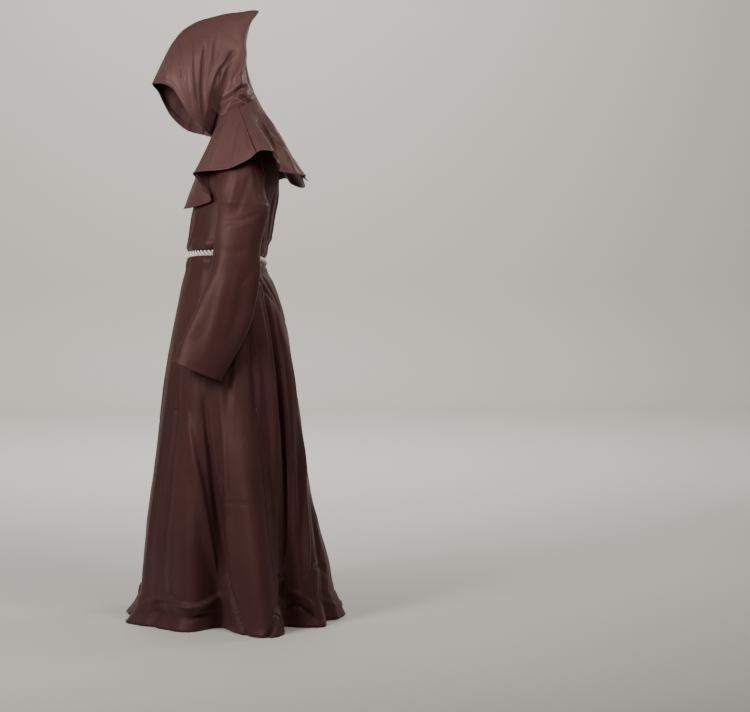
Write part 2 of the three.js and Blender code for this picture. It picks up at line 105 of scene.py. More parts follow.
def paper_material():
    """Uncoated studio paper: matt, with the faint tooth of its fibres."""
    made, tree = new_material("matte_backdrop_paper")
    place = node(tree, "ShaderNodeTexCoord")
    grain = node(tree, "ShaderNodeTexNoise", inputs={"Scale": spacing(PAPER_TOOTH), "Detail": 3},
                 links={"Vector": place.outputs["Object"]})
    bump = node(tree, "ShaderNodeBump", inputs={"Strength": 0.05, "Distance": 1 * MM},
                links={"Height": grain.outputs["Fac"]})
    paper = node(tree, "ShaderNodeBsdfPrincipled",
                 inputs={"Base Color": linear(PALE_PAPER), "Roughness": 0.9},
                 links={"Normal": bump.outputs["Normal"]})
    node(tree, "ShaderNodeOutputMaterial", links={"Surface": paper.outputs["BSDF"]})
    return made


def add_sweep():
    """The floor, bent up at its far edge into a wall."""
    bpy.ops.object.select_all(action="DESELECT")
    bpy.ops.mesh.primitive_plane_add(size=2 * SWEEP_HALF, location=(SWEEP_HALF - SWEEP_BACK, 0, FLOOR))
    sweep = bpy.context.object
    sweep.name = "studio_sweep"
    bpy.ops.object.mode_set(mode="EDIT")
    bpy.ops.mesh.select_all(action="DESELECT")
    bpy.ops.object.mode_set(mode="OBJECT")
    for edge in sweep.data.edges:
        ends = [sweep.data.vertices[k].co.x for k in edge.vertices]
        edge.select = max(ends) < -SWEEP_HALF + 0.01
    bpy.ops.object.mode_set(mode="EDIT")
    for k in range(SWEEP_STEPS):
        turn = [math.pi / 2 * n / SWEEP_STEPS for n in (k, k + 1)]
        back = SWEEP_RADIUS * (math.sin(turn[1]) - math.sin(turn[0]))
        rise = SWEEP_RADIUS * (math.cos(turn[0]) - math.cos(turn[1]))
        bpy.ops.mesh.extrude_region_move(TRANSFORM_OT_translate={"value": (-back, 0, rise)})
    bpy.ops.mesh.extrude_region_move(TRANSFORM_OT_translate={"value": (0, 0, SWEEP_HEIGHT)})
    bpy.ops.mesh.select_all(action="SELECT")
    bpy.ops.mesh.normals_make_consistent(inside=False)
    bpy.ops.object.mode_set(mode="OBJECT")
    bpy.ops.object.shade_smooth_by_angle(angle=math.radians(40))
    bpy.ops.object.transform_apply(location=True, rotation=True, scale=True)
    sweep.data.materials.append(paper_material())


def add_light(name, place, target, size, watts, colour):
    """A soft rectangular light that faces its target."""
    lamp = bpy.data.lights.new(name, "AREA")
    lamp.shape = "RECTANGLE"
    lamp.size, lamp.size_y = size
    lamp.energy = watts
    lamp.color = linear(colour)[:3]
    holder = bpy.data.objects.new(name, lamp)
    bpy.context.collection.objects.link(holder)
    holder.location = place
    holder.rotation_euler = (Vector(target) - Vector(place)).to_track_quat("-Z", "Y").to_euler()


def add_camera():
    """The camera at the robe's left side, turned so that the robe lies where the photo has it."""
    focal_px = CAMERA_DISTANCE / PIXEL_AT_ROBE
    yaw = math.atan((PHOTO_WIDTH / 2 - ROBE_AXIS_X) / focal_px)
    pitch = math.atan((PHOTO_HEIGHT / 2 - HORIZON_Y) / focal_px)
    lens = bpy.data.cameras.new("camera")
    lens.sensor_width = SENSOR_WIDTH
    lens.lens = SENSOR_WIDTH * focal_px / PHOTO_WIDTH
    holder = bpy.data.objects.new("camera", lens)
    bpy.context.collection.objects.link(holder)
    holder.location = (CAMERA_DISTANCE, 0, FLOOR + CAMERA_HEIGHT)
    level = math.cos(pitch)
    looking = Vector((-math.cos(yaw) * level, math.sin(yaw) * level, -math.sin(pitch)))
    holder.rotation_euler = looking.to_track_quat("-Z", "Y").to_euler()
    bpy.context.scene.camera = holder


add_sweep()
for light in LIGHTS:
    add_light(*light)
world = bpy.data.worlds.new("studio_air")
bpy.context.scene.world = world
world.use_nodes = True
air = world.node_tree.nodes["Background"]
air.inputs["Color"].default_value = linear(AIR_COLOUR)
air.inputs["Strength"].default_value = AIR_STRENGTH
add_camera()

# The robe's body: a front and a back panel of plum-brown satin-faced polyester, sewn at
# the shoulders and down the sides, with the armholes scooped out at the top. It is
# gathered in by the belt and longer than the wearer, so its hem lies on the floor.
CLOTH = 1.2
SEAM = 0.3  # gap between two sewn pieces
SQUARE = 0.9  # makes a ring a little fuller than an ellipse
ARM_PLANE = 160  # each armhole lies in a plane this far from the middle
ROBE_COLOUR = "#4e3130"
ROBE_SHADE = "#392221"
ROBE_SHINE = 0.28
SATIN_SHEEN = "#dcb6ab"
TILT_LEFT = 18
TILT_FRONT = 10


def table(names, *rows):
    """A table as one array for each named column."""
    return {name: np.array([row[k] for row in rows], float) for k, name in enumerate(names.split())}


def hermite(t, first, last, rise, fall):
    """A cubic from first to last as t goes from 0 to 1, with its slopes at both ends."""
    t2, t3 = t * t, t * t * t
    level = (2 * t3 - 3 * t2 + 1) * first + (3 * t2 - 2 * t3) * last
    return level + (t3 - 2 * t2 + t) * rise + (t3 - t2) * fall


def column(rows, name, at):
    """A smooth curve through one column; at may lie between two rows."""
    values = rows[name]
    last = len(values) - 1
    at = np.asarray(at, float)
    k = np.clip(np.floor(at).astype(int), 0, last - 1)
    t = at - k
    a, b, c, d = (values[np.clip(k + n, 0, last)] for n in (-1, 0, 1, 2))
    rise, fall = (c - a) / 2, (d - b) / 2
    return hermite(t, b, c, rise, fall)


def mix(a, b, t):
    return a + (b - a) * t


def power(t, exponent):
    return np.sign(t) * np.abs(t) ** exponent


def bell(t):
    """One at 0, falling softly to nothing at -1 and 1."""
    return np.where(np.abs(t) < 1, (1 + np.cos(np.pi * np.clip(t, -1, 1))) / 2, 0)


def smooth(t):
    """Nothing up to 0, rising softly to one at 1."""
    t = np.clip(t, 0, 1)
    return t * t * (3 - 2 * t)


def oval(angle, side, front, back, half, fore, rear, mid):
    """Points on a ring: half is its reach to each side, fore to the front and rear to the back."""
    s = np.sin(angle)
    reach = np.where(s < 0, fore + mid, rear - mid)
    top = np.where(s < 0, front, back)
    height = mix(side, top, np.abs(s) ** 1.5) - SHOULDER_HEIGHT
    return np.stack([half * power(np.cos(angle), SQUARE), mid + reach * power(s, SQUARE), height], -1)


# Rings of the robe from the neck to the floor: heights at the side, front and back, half the
# width, reach to the front and to the rear, the side line's place, how much of the belt's
# tilt the ring takes, and how many degrees the side seam lies behind the side.
ROBE = table(
    "side front back half fore rear mid belt seam",
    (1475.2, 1389.6, 1513.4, 93.4, 58.4, 70.5, 6, 0, 0),
    (1446, 1350, 1472, 121, 67, 84, 10, 0, 0),
    (1430, 1320, 1438, 142, 76, 100, 15, 0, 0),
    (1412, 1296, 1403, 160, 85, 116, 19, 0, 0),
    (1384, 1274, 1365, 176, 93, 127, 23, 0, 0),
    (1343, 1256, 1325, 184, 99, 134, 27, 0, 0),
    (1298, 1240, 1290, 186, 104, 138, 30, 0, 0),
    (1250, 1222, 1255, 178, 108, 138, 30, 0, 0),
    (1212, 1200, 1215, 160, 112, 132, 30, 0, 0),
    (1165, 1162, 1166, 157, 116, 121, 26, 0, 4),
    (1118, 1118, 1118, 155, 122, 112, 18, 0, 6),
    (1075, 1075, 1075, 154, 127, 99, 8, 0.7, 8),
    (1043, 1043, 1043, 151, 126, 92, 2, 1, 9),
    (1012, 1012, 1012, 156, 134, 99, 4, 0.7, 10),
    (975, 975, 975, 162, 147, 121, 6, 0, 11),
    (905, 905, 905, 178, 161, 145, 8, 0, 12),
    (820, 820, 820, 195, 178, 162, 8, 0, 14),
    (720, 720, 720, 207, 193, 177, 8, 0, 16),
    (600, 600, 600, 219, 209, 196, 8, 0, 17),
    (480, 480, 480, 235, 224, 212, 8, 0, 18),
    (360, 360, 360, 248, 239, 230, 10, 0, 18),
    (250, 250, 250, 258, 254, 252, 10, 0, 18),
    (160, 160, 160, 262, 264, 276, 10, 0, 18),
    (90, 90, 90, 263, 268, 286, 10, 0, 18),
    (42, 42, 42, 264, 284, 302, 10, 0, 18),
    (14, 14, 14, 268, 302, 312, 10, 0, 18),
    (2.4, 2.4, 2.4, 274, 312, 317, 10, 0, 18),
)
OVAL_SIZES = ("side", "front", "back", "half", "fore", "rear", "mid")
ROBE_LAST = len(ROBE["side"]) - 1
WAIST_ROW = 12
ARMHOLE_TOP = 3
ARMPIT = 8

# Folds of the skirt: foot and head are a fold's angles at the floor and where it
# starts, top is that height, depth is outward at the floor and spread half its width.
SKIRT_FOLDS = (
    (-9, -25, 920, -66, 12),
    (-25, -38, 800, 20, 13),
    (11, 3, 880, 108, 18),
    (28, 57, 1035, -46, 10),
    (46, 80, 720, 26, 11),
    (64, 86, 620, -26, 10),
    (90, 93, 520, 12, 15),
    (114, 106, 820, -16, 11),
    (134, 124, 700, 14, 11),
    (153, 141, 760, -20, 10),
    (171, 166, 700, 26, 12),
    (189, 184, 820, -34, 10),
    (211, 205, 560, 76, 15),
    (233, 226, 900, -32, 11),
    (252, 245, 760, 18, 12),
    (272, 266, 700, -14, 10),
    (291, 285, 640, 14, 12),
    (312, 303, 760, -12, 9),
)


def skirt_fold(angle, height):
    """How far the skirt's folds stand out, from nothing where each starts to the floor."""
    out = np.zeros_like(angle)
    for foot, head, top, depth, spread in SKIRT_FOLDS:
        run = np.clip((top - height) / top, 0, 1)
        centre = mix(head, foot, run**0.8)
        apart = (np.degrees(angle) - centre + 180) % 360 - 180
        out += depth * run**1.8 * bell(apart / spread)
    return out


def belt_tilt(angle):
    """How far the belt lies above its middle: it rises to the wearer's left and to the front."""
    return TILT_LEFT * np.cos(angle) - TILT_FRONT * np.sin(angle)


def robe_ring(row):
    """The ring's sizes at a row, or at many rows."""
    return {name: column(ROBE, name, row) for name in ROBE}


def robe_point(angle, row):
    """Points on the robe's outer side; angle is 0 at the wearer's left and 90 degrees behind."""
    ring = robe_ring(row)
    p = oval(angle, *[ring[name] for name in OVAL_SIZES])
    p[..., 2] += ring["belt"] * belt_tilt(angle)
    out = skirt_fold(angle, p[..., 2] + SHOULDER_HEIGHT)
    p[..., 0] += out * np.cos(angle)
    p[..., 1] += out * np.sin(angle)
    return p


def armhole_angle(row):
    """How far round from the side the armhole's edge lies at a row."""
    half = column(ROBE, "half", row)
    inside = (np.asarray(row) > ARMHOLE_TOP) & (np.asarray(row) < ARMPIT) & (half > ARM_PLANE)
    return np.where(inside, np.arccos(np.minimum(1, ARM_PLANE / half) ** (1 / SQUARE)), 0)


# For each side that creases are seen from: the axes across and up, the axis that faces the
# eye, and its direction. A crease fades where the cloth turns away from that side, and none
# goes farther than FAR_SIDE past the robe's middle.
SIDES = {"left": (1, 2, 0, 1), "right": (1, 2, 0, -1), "back": (0, 2, 1, 1), "front": (0, 2, 1, -1)}
TURNED_AWAY = -0.15
TURNED_TO = 0.25
FAR_SIDE = -30
ENDS = 0.3
CURVE_POINTS = 26
CRUMPLE_WAVES = 14
CRUMPLE_UPRIGHT = 0.45
CRUMPLE_BEND = 0.004
CRUMPLE_PEAK = 4


def curve_points(path):
    """A smooth curve through a short list of points."""
    rows = {k: np.array([p[k] for p in path], float) for k in range(len(path[0]))}
    at = np.linspace(0, len(path) - 1, CURVE_POINTS)
    return np.stack([column(rows, k, at) for k in rows], -1)


def fading_ends(t):
    """One in the middle of a run from 0 to 1, easing to nothing at both ends."""
    return smooth(t / ENDS) * smooth((1 - t) / ENDS)


def nearest_on(line, target):
    """Distance of each target point from a line, how far along it lies, and if on its left."""
    best = np.full(len(target), np.inf)
    along = np.zeros(len(target))
    on_left = np.zeros(len(target), bool)
    for k in range(len(line) - 1):
        start, step = line[k], line[k + 1] - line[k]
        t = np.clip(((target - start) @ step) / (step @ step), 0, 1)
        far = np.linalg.norm(target - start - t[:, None] * step, axis=1)
        closer = far < best
        on_left = np.where(closer, (target - start) @ (-step[1], step[0]) > 0, on_left)
        best = np.where(closer, far, best)
        along = np.where(closer, (k + t) / (len(line) - 1), along)
    return best, along, on_left


def crease(points, normals, side, depth, wide, *path):
    """How far a crease moves each point outward. path is (across, height) seen from that
    side; wide is half its width, or that of its left and of its right side along the path."""
    left_wide, right_wide = wide if isinstance(wide, tuple) else (wide, wide)
    across, up, facing, sign = SIDES[side]
    line = curve_points(path)
    line[:, 1] -= SHOULDER_HEIGHT
    flat = points[..., (across, up)]
    seen = smooth((normals[..., facing] * sign - TURNED_AWAY) / (TURNED_TO - TURNED_AWAY))
    seen = seen * (points[..., facing] * sign > FAR_SIDE)
    reach = max(left_wide, right_wide)
    near = np.all((flat > line.min(0) - reach) & (flat < line.max(0) + reach), -1) & (seen > 0)
    out = np.zeros(points.shape[:-1])
    if near.any():
        best, along, on_left = nearest_on(line, flat[near])
        half = np.where(on_left, left_wide, right_wide)
        out[near] = depth * bell(best / half) * fading_ends(along) * seen[near]
    return out


def grid_normals(grid, sign):
    """Directions that point out of the cloth; sign tells which of its two sides is the outer one."""
    normals = np.cross(np.gradient(grid, axis=1), np.gradient(grid, axis=0)) * sign
    return normals / np.maximum(np.linalg.norm(normals, axis=-1, keepdims=True), 1e-9)


def crumple(points, size, height, seed):
    """Gentle unevenness of unpressed cloth: crossed waves of about that size, each a little
    bent and longer down the cloth than across it."""
    draw = np.random.default_rng(seed)
    total = np.zeros(points.shape[:-1])
    for _ in range(CRUMPLE_WAVES):
        way = draw.normal(size=3) * (1.0, 1.0, CRUMPLE_UPRIGHT)
        way *= 2 * np.pi / (size * draw.uniform(0.6, 1.7)) / np.linalg.norm(way)
        bend = 0.6 * np.sin(points @ (draw.normal(size=3) * CRUMPLE_BEND) + draw.uniform(0, 6))
        total += np.sin(points @ way + draw.uniform(0, 2 * np.pi) + bend)
    return height * total / CRUMPLE_PEAK


def edge_distance(grid, edge):
    """Distance of each point, along the cloth, from one edge of its grid."""
    axis = 0 if edge in ("top", "bottom") else 1
    steps = np.linalg.norm(np.diff(grid, axis=axis), axis=-1)
    run = np.cumsum(steps, axis=axis)
    first = np.zeros_like(run[:1] if axis == 0 else run[:, :1])
    run = np.concatenate([first, run], axis)
    if edge in ("top", "first"):
        return run
    return run.max(axis=axis, keepdims=True) - run


def seam_line(grid, edge, inset, wide, depth, ply):
    """A row of stitching inset from an edge; ply is the rise of a turned hem beside it."""
    away = edge_distance(grid, edge) - inset
    return -depth * bell(away / wide) + ply * smooth(-away / wide)


def pressed(grid, sign, creases, waves, seams, extra=0.0):
    """The grid with its creases, stitching and gentle unevenness pressed into it."""
    normals = grid_normals(grid, sign)
    out = np.zeros(grid.shape[:-1]) + extra
    for row in creases:
        out += crease(grid, normals, *row)
    for row in waves:
        out += crumple(grid, *row)
    for row in seams:
        out += seam_line(grid, *row)
    return grid + normals * out[..., None]


def cloth_lengths(grid):
    """Distance along each row from its middle, and down each column, in metres."""
    run = edge_distance(grid, "first")
    run = run - run[:, run.shape[1] // 2][:, None]
    return np.stack([run, edge_distance(grid, "top")], -1).reshape(-1, 2) * MM


def cloth_mesh(name, grid, sign, thick=CLOTH, floor=None):
    """A thin closed shell on a grid of outer points, with a UV map in metres along the cloth.
    Where a floor is given, neither of its sides goes below it."""
    rows, columns = grid.shape[:2]
    inner = grid - grid_normals(grid, sign) * thick
    if floor is not None:
        inner[..., 2] = np.maximum(inner[..., 2], floor)
        grid[..., 2] = np.maximum(grid[..., 2], inner[..., 2] + thick * 0.5)
    index = np.arange(rows * columns).reshape(rows, columns)
    away = rows * columns
    corners = [index[:-1, :-1], index[:-1, 1:], index[1:, 1:], index[1:, :-1]]
    outer = np.stack(corners, -1).reshape(-1, 4)
    edges = [index[0][::-1], index[-1], index[:, 0], index[:, -1][::-1]]
    rims = [np.stack([e[:-1], e[1:], e[1:] + away, e[:-1] + away], -1) for e in edges]
    faces = np.concatenate([outer, outer[:, ::-1] + away, *rims])
    if sign < 0:
        faces = faces[:, ::-1]
    points = np.concatenate([grid.reshape(-1, 3), inner.reshape(-1, 3)])
    return mesh_piece(name, points, faces.tolist(), cloth_lengths(grid))


def mesh_piece(name, points, faces, lengths):
    """A smooth mesh from points in millimetres, with their lengths along the piece as its UV map."""
    mesh = bpy.data.meshes.new(name)
    mesh.from_pydata((points * MM).tolist(), [], faces)
    layer = mesh.uv_layers.new(name="cloth")
    corners = np.empty(len(mesh.loops), int)
    mesh.loops.foreach_get("vertex_index", corners)
    layer.data.foreach_set("uv", lengths[corners % len(lengths)].ravel())
    mesh.polygons.foreach_set("use_smooth", np.ones(len(mesh.polygons), bool))
    mesh.update()
    made = bpy.data.objects.new(name, mesh)
    bpy.context.collection.objects.link(made)
    return made


def dress(piece, material, cad_node):
    """Gives a piece its material, puts it under the root body and hides the model's part that it
    replaces.
    """
    piece.data.materials.append(material)
    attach(piece, "root")
    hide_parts(cad_node)


# Sizes in millimetres of what the eye sees in the satin: crushed patches, long slubs, grain,
# twill ribs, the finest unevenness, and crinkles. The ribs and the grain are coarser than
# the real threads, so that they show.
PATCH_SIZE = 312.5
SLUB_WIDTH = 2.38
SLUB_LENGTH = 45.5
GRAIN_SIZE = 2.63
RIB_SIZE = 1.6
RIB_TURN = 63  # degrees
FINE_SIZE = 1.11
CRINKLE_SIZE = 18.18
WAVE_TEXTURE_TURN = 20  # radians that the wave texture turns along one unit at scale 1


def satin_material(name, light, dark, shine):
    """Satin-faced polyester: smooth floats that shine along the folds, a fine twill rib
    and slight shade changes where the cloth is crushed."""
    made, tree = new_material(name)
    place = node(tree, "ShaderNodeTexCoord")
    cloth = node(tree, "ShaderNodeUVMap", {"uv_map": "cloth"})
    patches = node(tree, "ShaderNodeTexNoise",
                   inputs={"Scale": spacing(PATCH_SIZE), "Detail": 4, "Roughness": 0.55},
                   links={"Vector": place.outputs["Object"]})
    stretch = node(tree, "ShaderNodeMapping",
                   inputs={"Scale": (spacing(SLUB_WIDTH), spacing(SLUB_LENGTH), 1)},
                   links={"Vector": cloth.outputs["UV"]})
    slubs = node(tree, "ShaderNodeTexNoise", inputs={"Scale": 1, "Detail": 2},
                 links={"Vector": stretch.outputs["Vector"]})
    blend = node(tree, "ShaderNodeMath", {"operation": "MULTIPLY_ADD"}, {1: 0.35},
                 {0: slubs.outputs["Fac"], 2: patches.outputs["Fac"]})
    grain = node(tree, "ShaderNodeTexNoise",
                 inputs={"Scale": spacing(GRAIN_SIZE), "Detail": 3, "Roughness": 0.7},
                 links={"Vector": cloth.outputs["UV"]})
    mottled = node(tree, "ShaderNodeMath", {"operation": "MULTIPLY_ADD"}, {1: 0.5},
                   {0: grain.outputs["Fac"], 2: blend.outputs[0]})
    shade = node(tree, "ShaderNodeMapRange", inputs={"From Min": 0.62, "From Max": 1.28},
                 links={"Value": mottled.outputs[0]})
    colour = node(tree, "ShaderNodeMix", {"data_type": "RGBA"}, {6: linear(dark), 7: linear(light)},
                  {0: shade.outputs["Result"]})
    twill = node(tree, "ShaderNodeMapping", inputs={"Rotation": (0, 0, math.radians(RIB_TURN))},
                 links={"Vector": cloth.outputs["UV"]})
    rib_scale = 2 * math.pi * spacing(RIB_SIZE) / WAVE_TEXTURE_TURN
    ribs = node(tree, "ShaderNodeTexWave", {"wave_type": "BANDS"},
                {"Scale": rib_scale, "Distortion": 0.4, "Detail": 1},
                {"Vector": twill.outputs["Vector"]})
    fine = node(tree, "ShaderNodeTexNoise", inputs={"Scale": spacing(FINE_SIZE), "Detail": 2},
                links={"Vector": cloth.outputs["UV"]})
    relief = node(tree, "ShaderNodeMath", {"operation": "MULTIPLY_ADD"}, {1: 0.5},
                  {0: ribs.outputs["Fac"], 2: fine.outputs["Fac"]})
    weave = node(tree, "ShaderNodeBump", inputs={"Strength": 0.3, "Distance": 0.3 * MM},
                 links={"Height": relief.outputs[0]})
    crinkles = node(tree, "ShaderNodeTexNoise",
                    inputs={"Scale": spacing(CRINKLE_SIZE), "Detail": 3, "Roughness": 0.5},
                    links={"Vector": place.outputs["Object"]})
    bump = node(tree, "ShaderNodeBump", inputs={"Strength": 0.2, "Distance": 2 * MM},
                links={"Height": crinkles.outputs["Fac"], "Normal": weave.outputs["Normal"]})
    gloss = node(tree, "ShaderNodeMapRange", inputs={"To Min": 0.42, "To Max": 0.56},
                 links={"Value": patches.outputs["Fac"]})
    satin = node(tree, "ShaderNodeBsdfPrincipled",
                 inputs={"Specular IOR Level": shine, "Specular Tint": linear(SATIN_SHEEN),
                         "Sheen Tint": linear(SATIN_SHEEN), "Sheen Weight": 0.08,
                         "Sheen Roughness": 0.45},
                 links={"Base Color": colour.outputs[2], "Roughness": gloss.outputs["Result"],
                        "Normal": bump.outputs["Normal"]})
    node(tree, "ShaderNodeOutputMaterial", links={"Surface": satin.outputs["BSDF"]})
    return made


robe_satin = satin_material("robe_satin_polyester", ROBE_COLOUR, ROBE_SHADE, ROBE_SHINE)

# Creases, each as it is seen from one side: its depth (a ridge is positive), half its width
# or that of its left and its right side, and points across and up, with heights from the floor.
SKIRT_CREASES = (
    ("left", 9, (8, 30), (-130, 635), (-113, 536), (-90, 409), (-68, 283), (-48, 175), (-28, 85)),
    ("left", -17, (15, 10), (-82, 672), (-70, 536), (-56, 395), (-42, 268), (-28, 164), (-11, 80)),
    ("left", -13, (8, 22), (-45, 672), (-39, 508), (-31, 339), (-20, 184), (0, 51)),
    ("left", 7, (16, 7), (-28, 593), (-20, 424), (-11, 254), (3, 113), (31, 6)),
    ("left", -24, (7, 9), (85, 1010), (101, 931), (118, 846), (132, 734), (141, 621),
     (147, 508), (149, 367), (144, 226), (124, 71)),
    ("left", 9, (7, 24), (70, 973), (93, 846), (113, 705), (127, 564), (132, 424),
     (132, 283), (116, 113)),
    ("left", 8, (18, 8), (118, 959), (138, 846), (158, 734), (169, 621), (175, 480),
     (175, 311), (166, 156)),
    ("left", -7, 18, (39, 959), (45, 875), (54, 790), (65, 677), (70, 564)),
    ("left", -8, 20, (11, 1021), (0, 903), (-8, 762), (-14, 593)),
    ("left", 5, 18, (-42, 1032), (-48, 903), (-59, 762), (-76, 649)),
    ("left", 10, (10, 18), (192, 593), (200, 452), (209, 311), (214, 198), (209, 85)),
    ("left", -15, (12, 8), (220, 564), (228, 395), (237, 254), (245, 147)),
    ("left", -10, 8, (214, 181), (237, 170), (259, 153), (279, 119)),
    ("left", -2.2, 5, (-209, 626), (-186, 621), (-161, 612), (-132, 601)),
    ("left", -1.8, 4, (-23, 367), (0, 361), (23, 361), (51, 364)),
    ("left", -5, 20, (-147, 875), (-158, 705), (-169, 536), (-186, 339), (-203, 142)),
    ("left", -20, (13, 7), (-28, 181), (-8, 102), (17, 35), (51, -30)),
    ("left", -16, (7, 12), (144, 142), (132, 80), (110, 23), (73, -30)),
    ("left", 5, 9, (-6, 6), (8, 23), (28, 18), (45, -11)),
    ("left", 15, (9, 17), (-285, 40), (-251, 63), (-211, 80), (-177, 83), (-137, 69), (-97, 71),
     (-57, 86), (-23, 91), (3, 40)),
    ("left", -13, (8, 7), (-279, 20), (-228, 40), (-177, 46), (-125, 37), (-74, 43), (-23, 40)),
    ("left", -15, (8, 6), (145, 40), (162, 63), (194, 60), (219, 40), (234, 12)),
    ("left", 9, 9, (145, 91), (171, 97), (197, 86), (222, 66), (236, 34)),
    ("back", -1.2, 4, (-3, 930), (-8, 760), (-11, 562), (-17, 335), (-23, 80)),
    ("back", 3, 26, (-31, 831), (-42, 647), (-51, 449), (-65, 250), (-82, 80)),
    ("back", 5, 22, (62, 831), (76, 718), (91, 590), (105, 463), (116, 335), (142, 165)),
    ("back", -4, 24, (96, 831), (113, 703), (130, 562), (150, 392), (176, 194)),
    ("back", -4.5, 28, (-93, 831), (-108, 647), (-127, 477), (-147, 307), (-170, 109)),
    ("back", 4, 22, (-144, 845), (-167, 703), (-184, 562), (-195, 364), (-210, 109)),
    ("back", -4.5, 22, (161, 873), (178, 732), (198, 562), (215, 364), (229, 109)),
    ("back", -2, 24, (25, 803), (31, 590), (37, 364), (42, 109)),
    ("back", -1.6, 5, (184, 851), (167, 854), (144, 856), (122, 851)),
    ("back", -1.6, 5, (68, 842), (48, 856), (-8, 859), (-65, 862), (-122, 865), (-184, 873)),
    ("back", -5, 8, (14, 1021), (3, 998), (-11, 975), (-31, 947)),
    ("back", -5, 8, (136, 1021), (127, 987), (116, 953), (99, 916)),
    ("back", 4, 8, (105, 1021), (93, 975), (82, 930), (71, 873)),
    ("back", -5, 8, (-150, 1015), (-130, 998), (-110, 975), (-93, 941)),
    ("back", -4, 9, (-65, 1015), (-59, 970), (-45, 919), (-34, 868)),
    ("back", -5, 9, (263, 162), (235, 148), (210, 145), (178, 154)),
    ("back", 5, 10, (147, 165), (161, 123), (173, 86), (184, 46)),
    ("back", 5, 9, (184, 46), (133, 89), (71, 32), (-23, 35), (-122, 55), (-212, 61)),
    ("back", -5, 10, (105, 109), (48, 72), (-23, 80), (-108, 97), (-178, 103)),
    ("back", -5, 9, (-221, 177), (-246, 154), (-269, 131), (-297, 92)),
    ("right", -7, 16, (-120, 840), (-112, 640), (-100, 420), (-86, 160)),
    ("right", 5, 14, (-60, 930), (-66, 700), (-60, 450), (-50, 120)),
    ("right", -9, 16, (12, 900), (20, 660), (24, 400), (30, 110)),
    ("right", 6, 12, (66, 1000), (88, 760), (104, 470), (112, 120)),
    ("right", -6, 14, (120, 860), (138, 610), (150, 380), (160, 130)),
    ("right", -1.6, 5, (-90, 700), (-40, 694), (12, 703), (40, 698)),
    ("front", -8, 18, (-96, 820), (-110, 600), (-122, 380), (-130, 120)),
    ("front", 6, 15, (-40, 900), (-46, 650), (-58, 400), (-66, 110)),
    ("front", -7, 16, (18, 860), (24, 610), (22, 380), (34, 130)),
    ("front", 6, 14, (84, 840), (100, 600), (108, 360), (120, 110)),
    ("front", -6, 14, (130, 780), (150, 540), (160, 330), (176, 120)),
    ("front", -1.6, 5, (-120, 560), (-60, 566), (0, 558), (60, 563)),
    ("front", 5, 9, (-180, 60), (-110, 84), (-30, 50), (60, 76), (150, 48)),
)
TORSO_CREASES = (
    ("back", -6, 13, (93, 1253), (85, 1185), (71, 1111), (57, 1043)),
    ("back", 5, 12, (42, 1259), (37, 1196), (31, 1123), (25, 1043)),
    ("back", -6, 12, (-42, 1259), (-34, 1191), (-20, 1117), (-3, 1043)),
    ("back", 5, 12, (-88, 1253), (-79, 1185), (-65, 1111), (-48, 1043)),
    ("back", -5, 11, (-133, 1242), (-122, 1179), (-108, 1106), (-88, 1038)),
    ("back", -4, 9, (125, 1225), (119, 1157), (108, 1094), (96, 1043)),
    ("back", -5, 8, (6, 1092), (3, 1072), (6, 1055), (3, 1035)),
    ("back", 3, 12, (133, 1123), (91, 1100), (48, 1106), (-8, 1092)),
    ("front", -5, 12, (-70, 1210), (-66, 1150), (-56, 1100), (-44, 1048)),
    ("front", 5, 12, (-30, 1200), (-30, 1150), (-26, 1100), (-20, 1048)),
    ("front", -5, 12, (34, 1205), (32, 1150), (26, 1100), (20, 1048)),
    ("front", 4, 10, (80, 1200), (76, 1150), (66, 1100), (56, 1048)),
)

# Gathers at the belt: angle round the waist, how far they run above and below it,
# their depth (a ridge is positive), half their width and how they lean on the way down.
GATHERS = table(
    "angle above below depth wide lean",
    (4, 40, 90, -3.6, 4.0, 2),
    (14, 70, 130, 3.4, 4.4, 3),
    (25, 30, 70, -4.2, 3.6, 1),
    (39, 80, 150, 4.0, 5.0, -4),
    (51, 45, 110, -3.2, 3.8, -3),
    (60, 60, 60, 3.6, 3.4, 0),
    (72, 90, 140, -4.6, 4.6, 2),
    (83, 35, 80, 3.0, 3.2, 1),
    (96, 75, 120, -4.8, 4.4, -1),
    (105, 40, 65, 3.6, 3.0, -2),
    (118, 85, 160, -4.0, 5.0, 3),
    (131, 50, 95, 3.8, 4.2, 4),
    (142, 60, 75, -3.4, 3.4, 2),
    (157, 30, 120, 3.8, 4.6, 1),
    (168, 70, 85, -4.4, 4.0, -3),
    (182, 45, 140, 3.2, 4.8, -1),
    (191, 80, 60, -3.6, 3.2, 2),
    (206, 55, 110, 4.2, 4.4, 3),
    (219, 35, 90, -3.8, 3.8, 1),
    (230, 65, 70, 3.0, 3.4, -2),
    (243, 90, 130, -4.6, 4.8, -2),
    (256, 40, 100, 3.8, 4.0, 1),
    (266, 60, 150, -4.2, 4.2, 2),
    (279, 50, 75, 3.4, 3.4, -1),
    (291, 75, 115, -4.4, 4.6, -3),
    (303, 45, 95, 4.0, 4.0, -4),
    (313, 35, 65, -3.2, 3.2, -1),
    (326, 70, 140, 3.8, 5.0, 2),
    (338, 55, 85, -4.0, 3.8, 3),
    (350, 30, 110, 3.2, 4.4, 1),
)
GATHER_FADE = 2.2
GATHER_LEAN_OVER = 100  # a gather leans by its lean over this length
SMOOTH_AT_ROPE = 8  # gathers are shallow this near to the middle of the rope

# The rope draws the cloth in by CINCH, and the cloth blouses above and below it.
CINCH = 6.5
CINCH_HALF = 15
BLOUSE = 4
BLOUSE_AWAY = 24

# Unevenness of the cloth: the size of its waves, their height, and the seed of their draw.
ROBE_WAVES = ((240, 1.5, 3), (85, 0.55, 4))

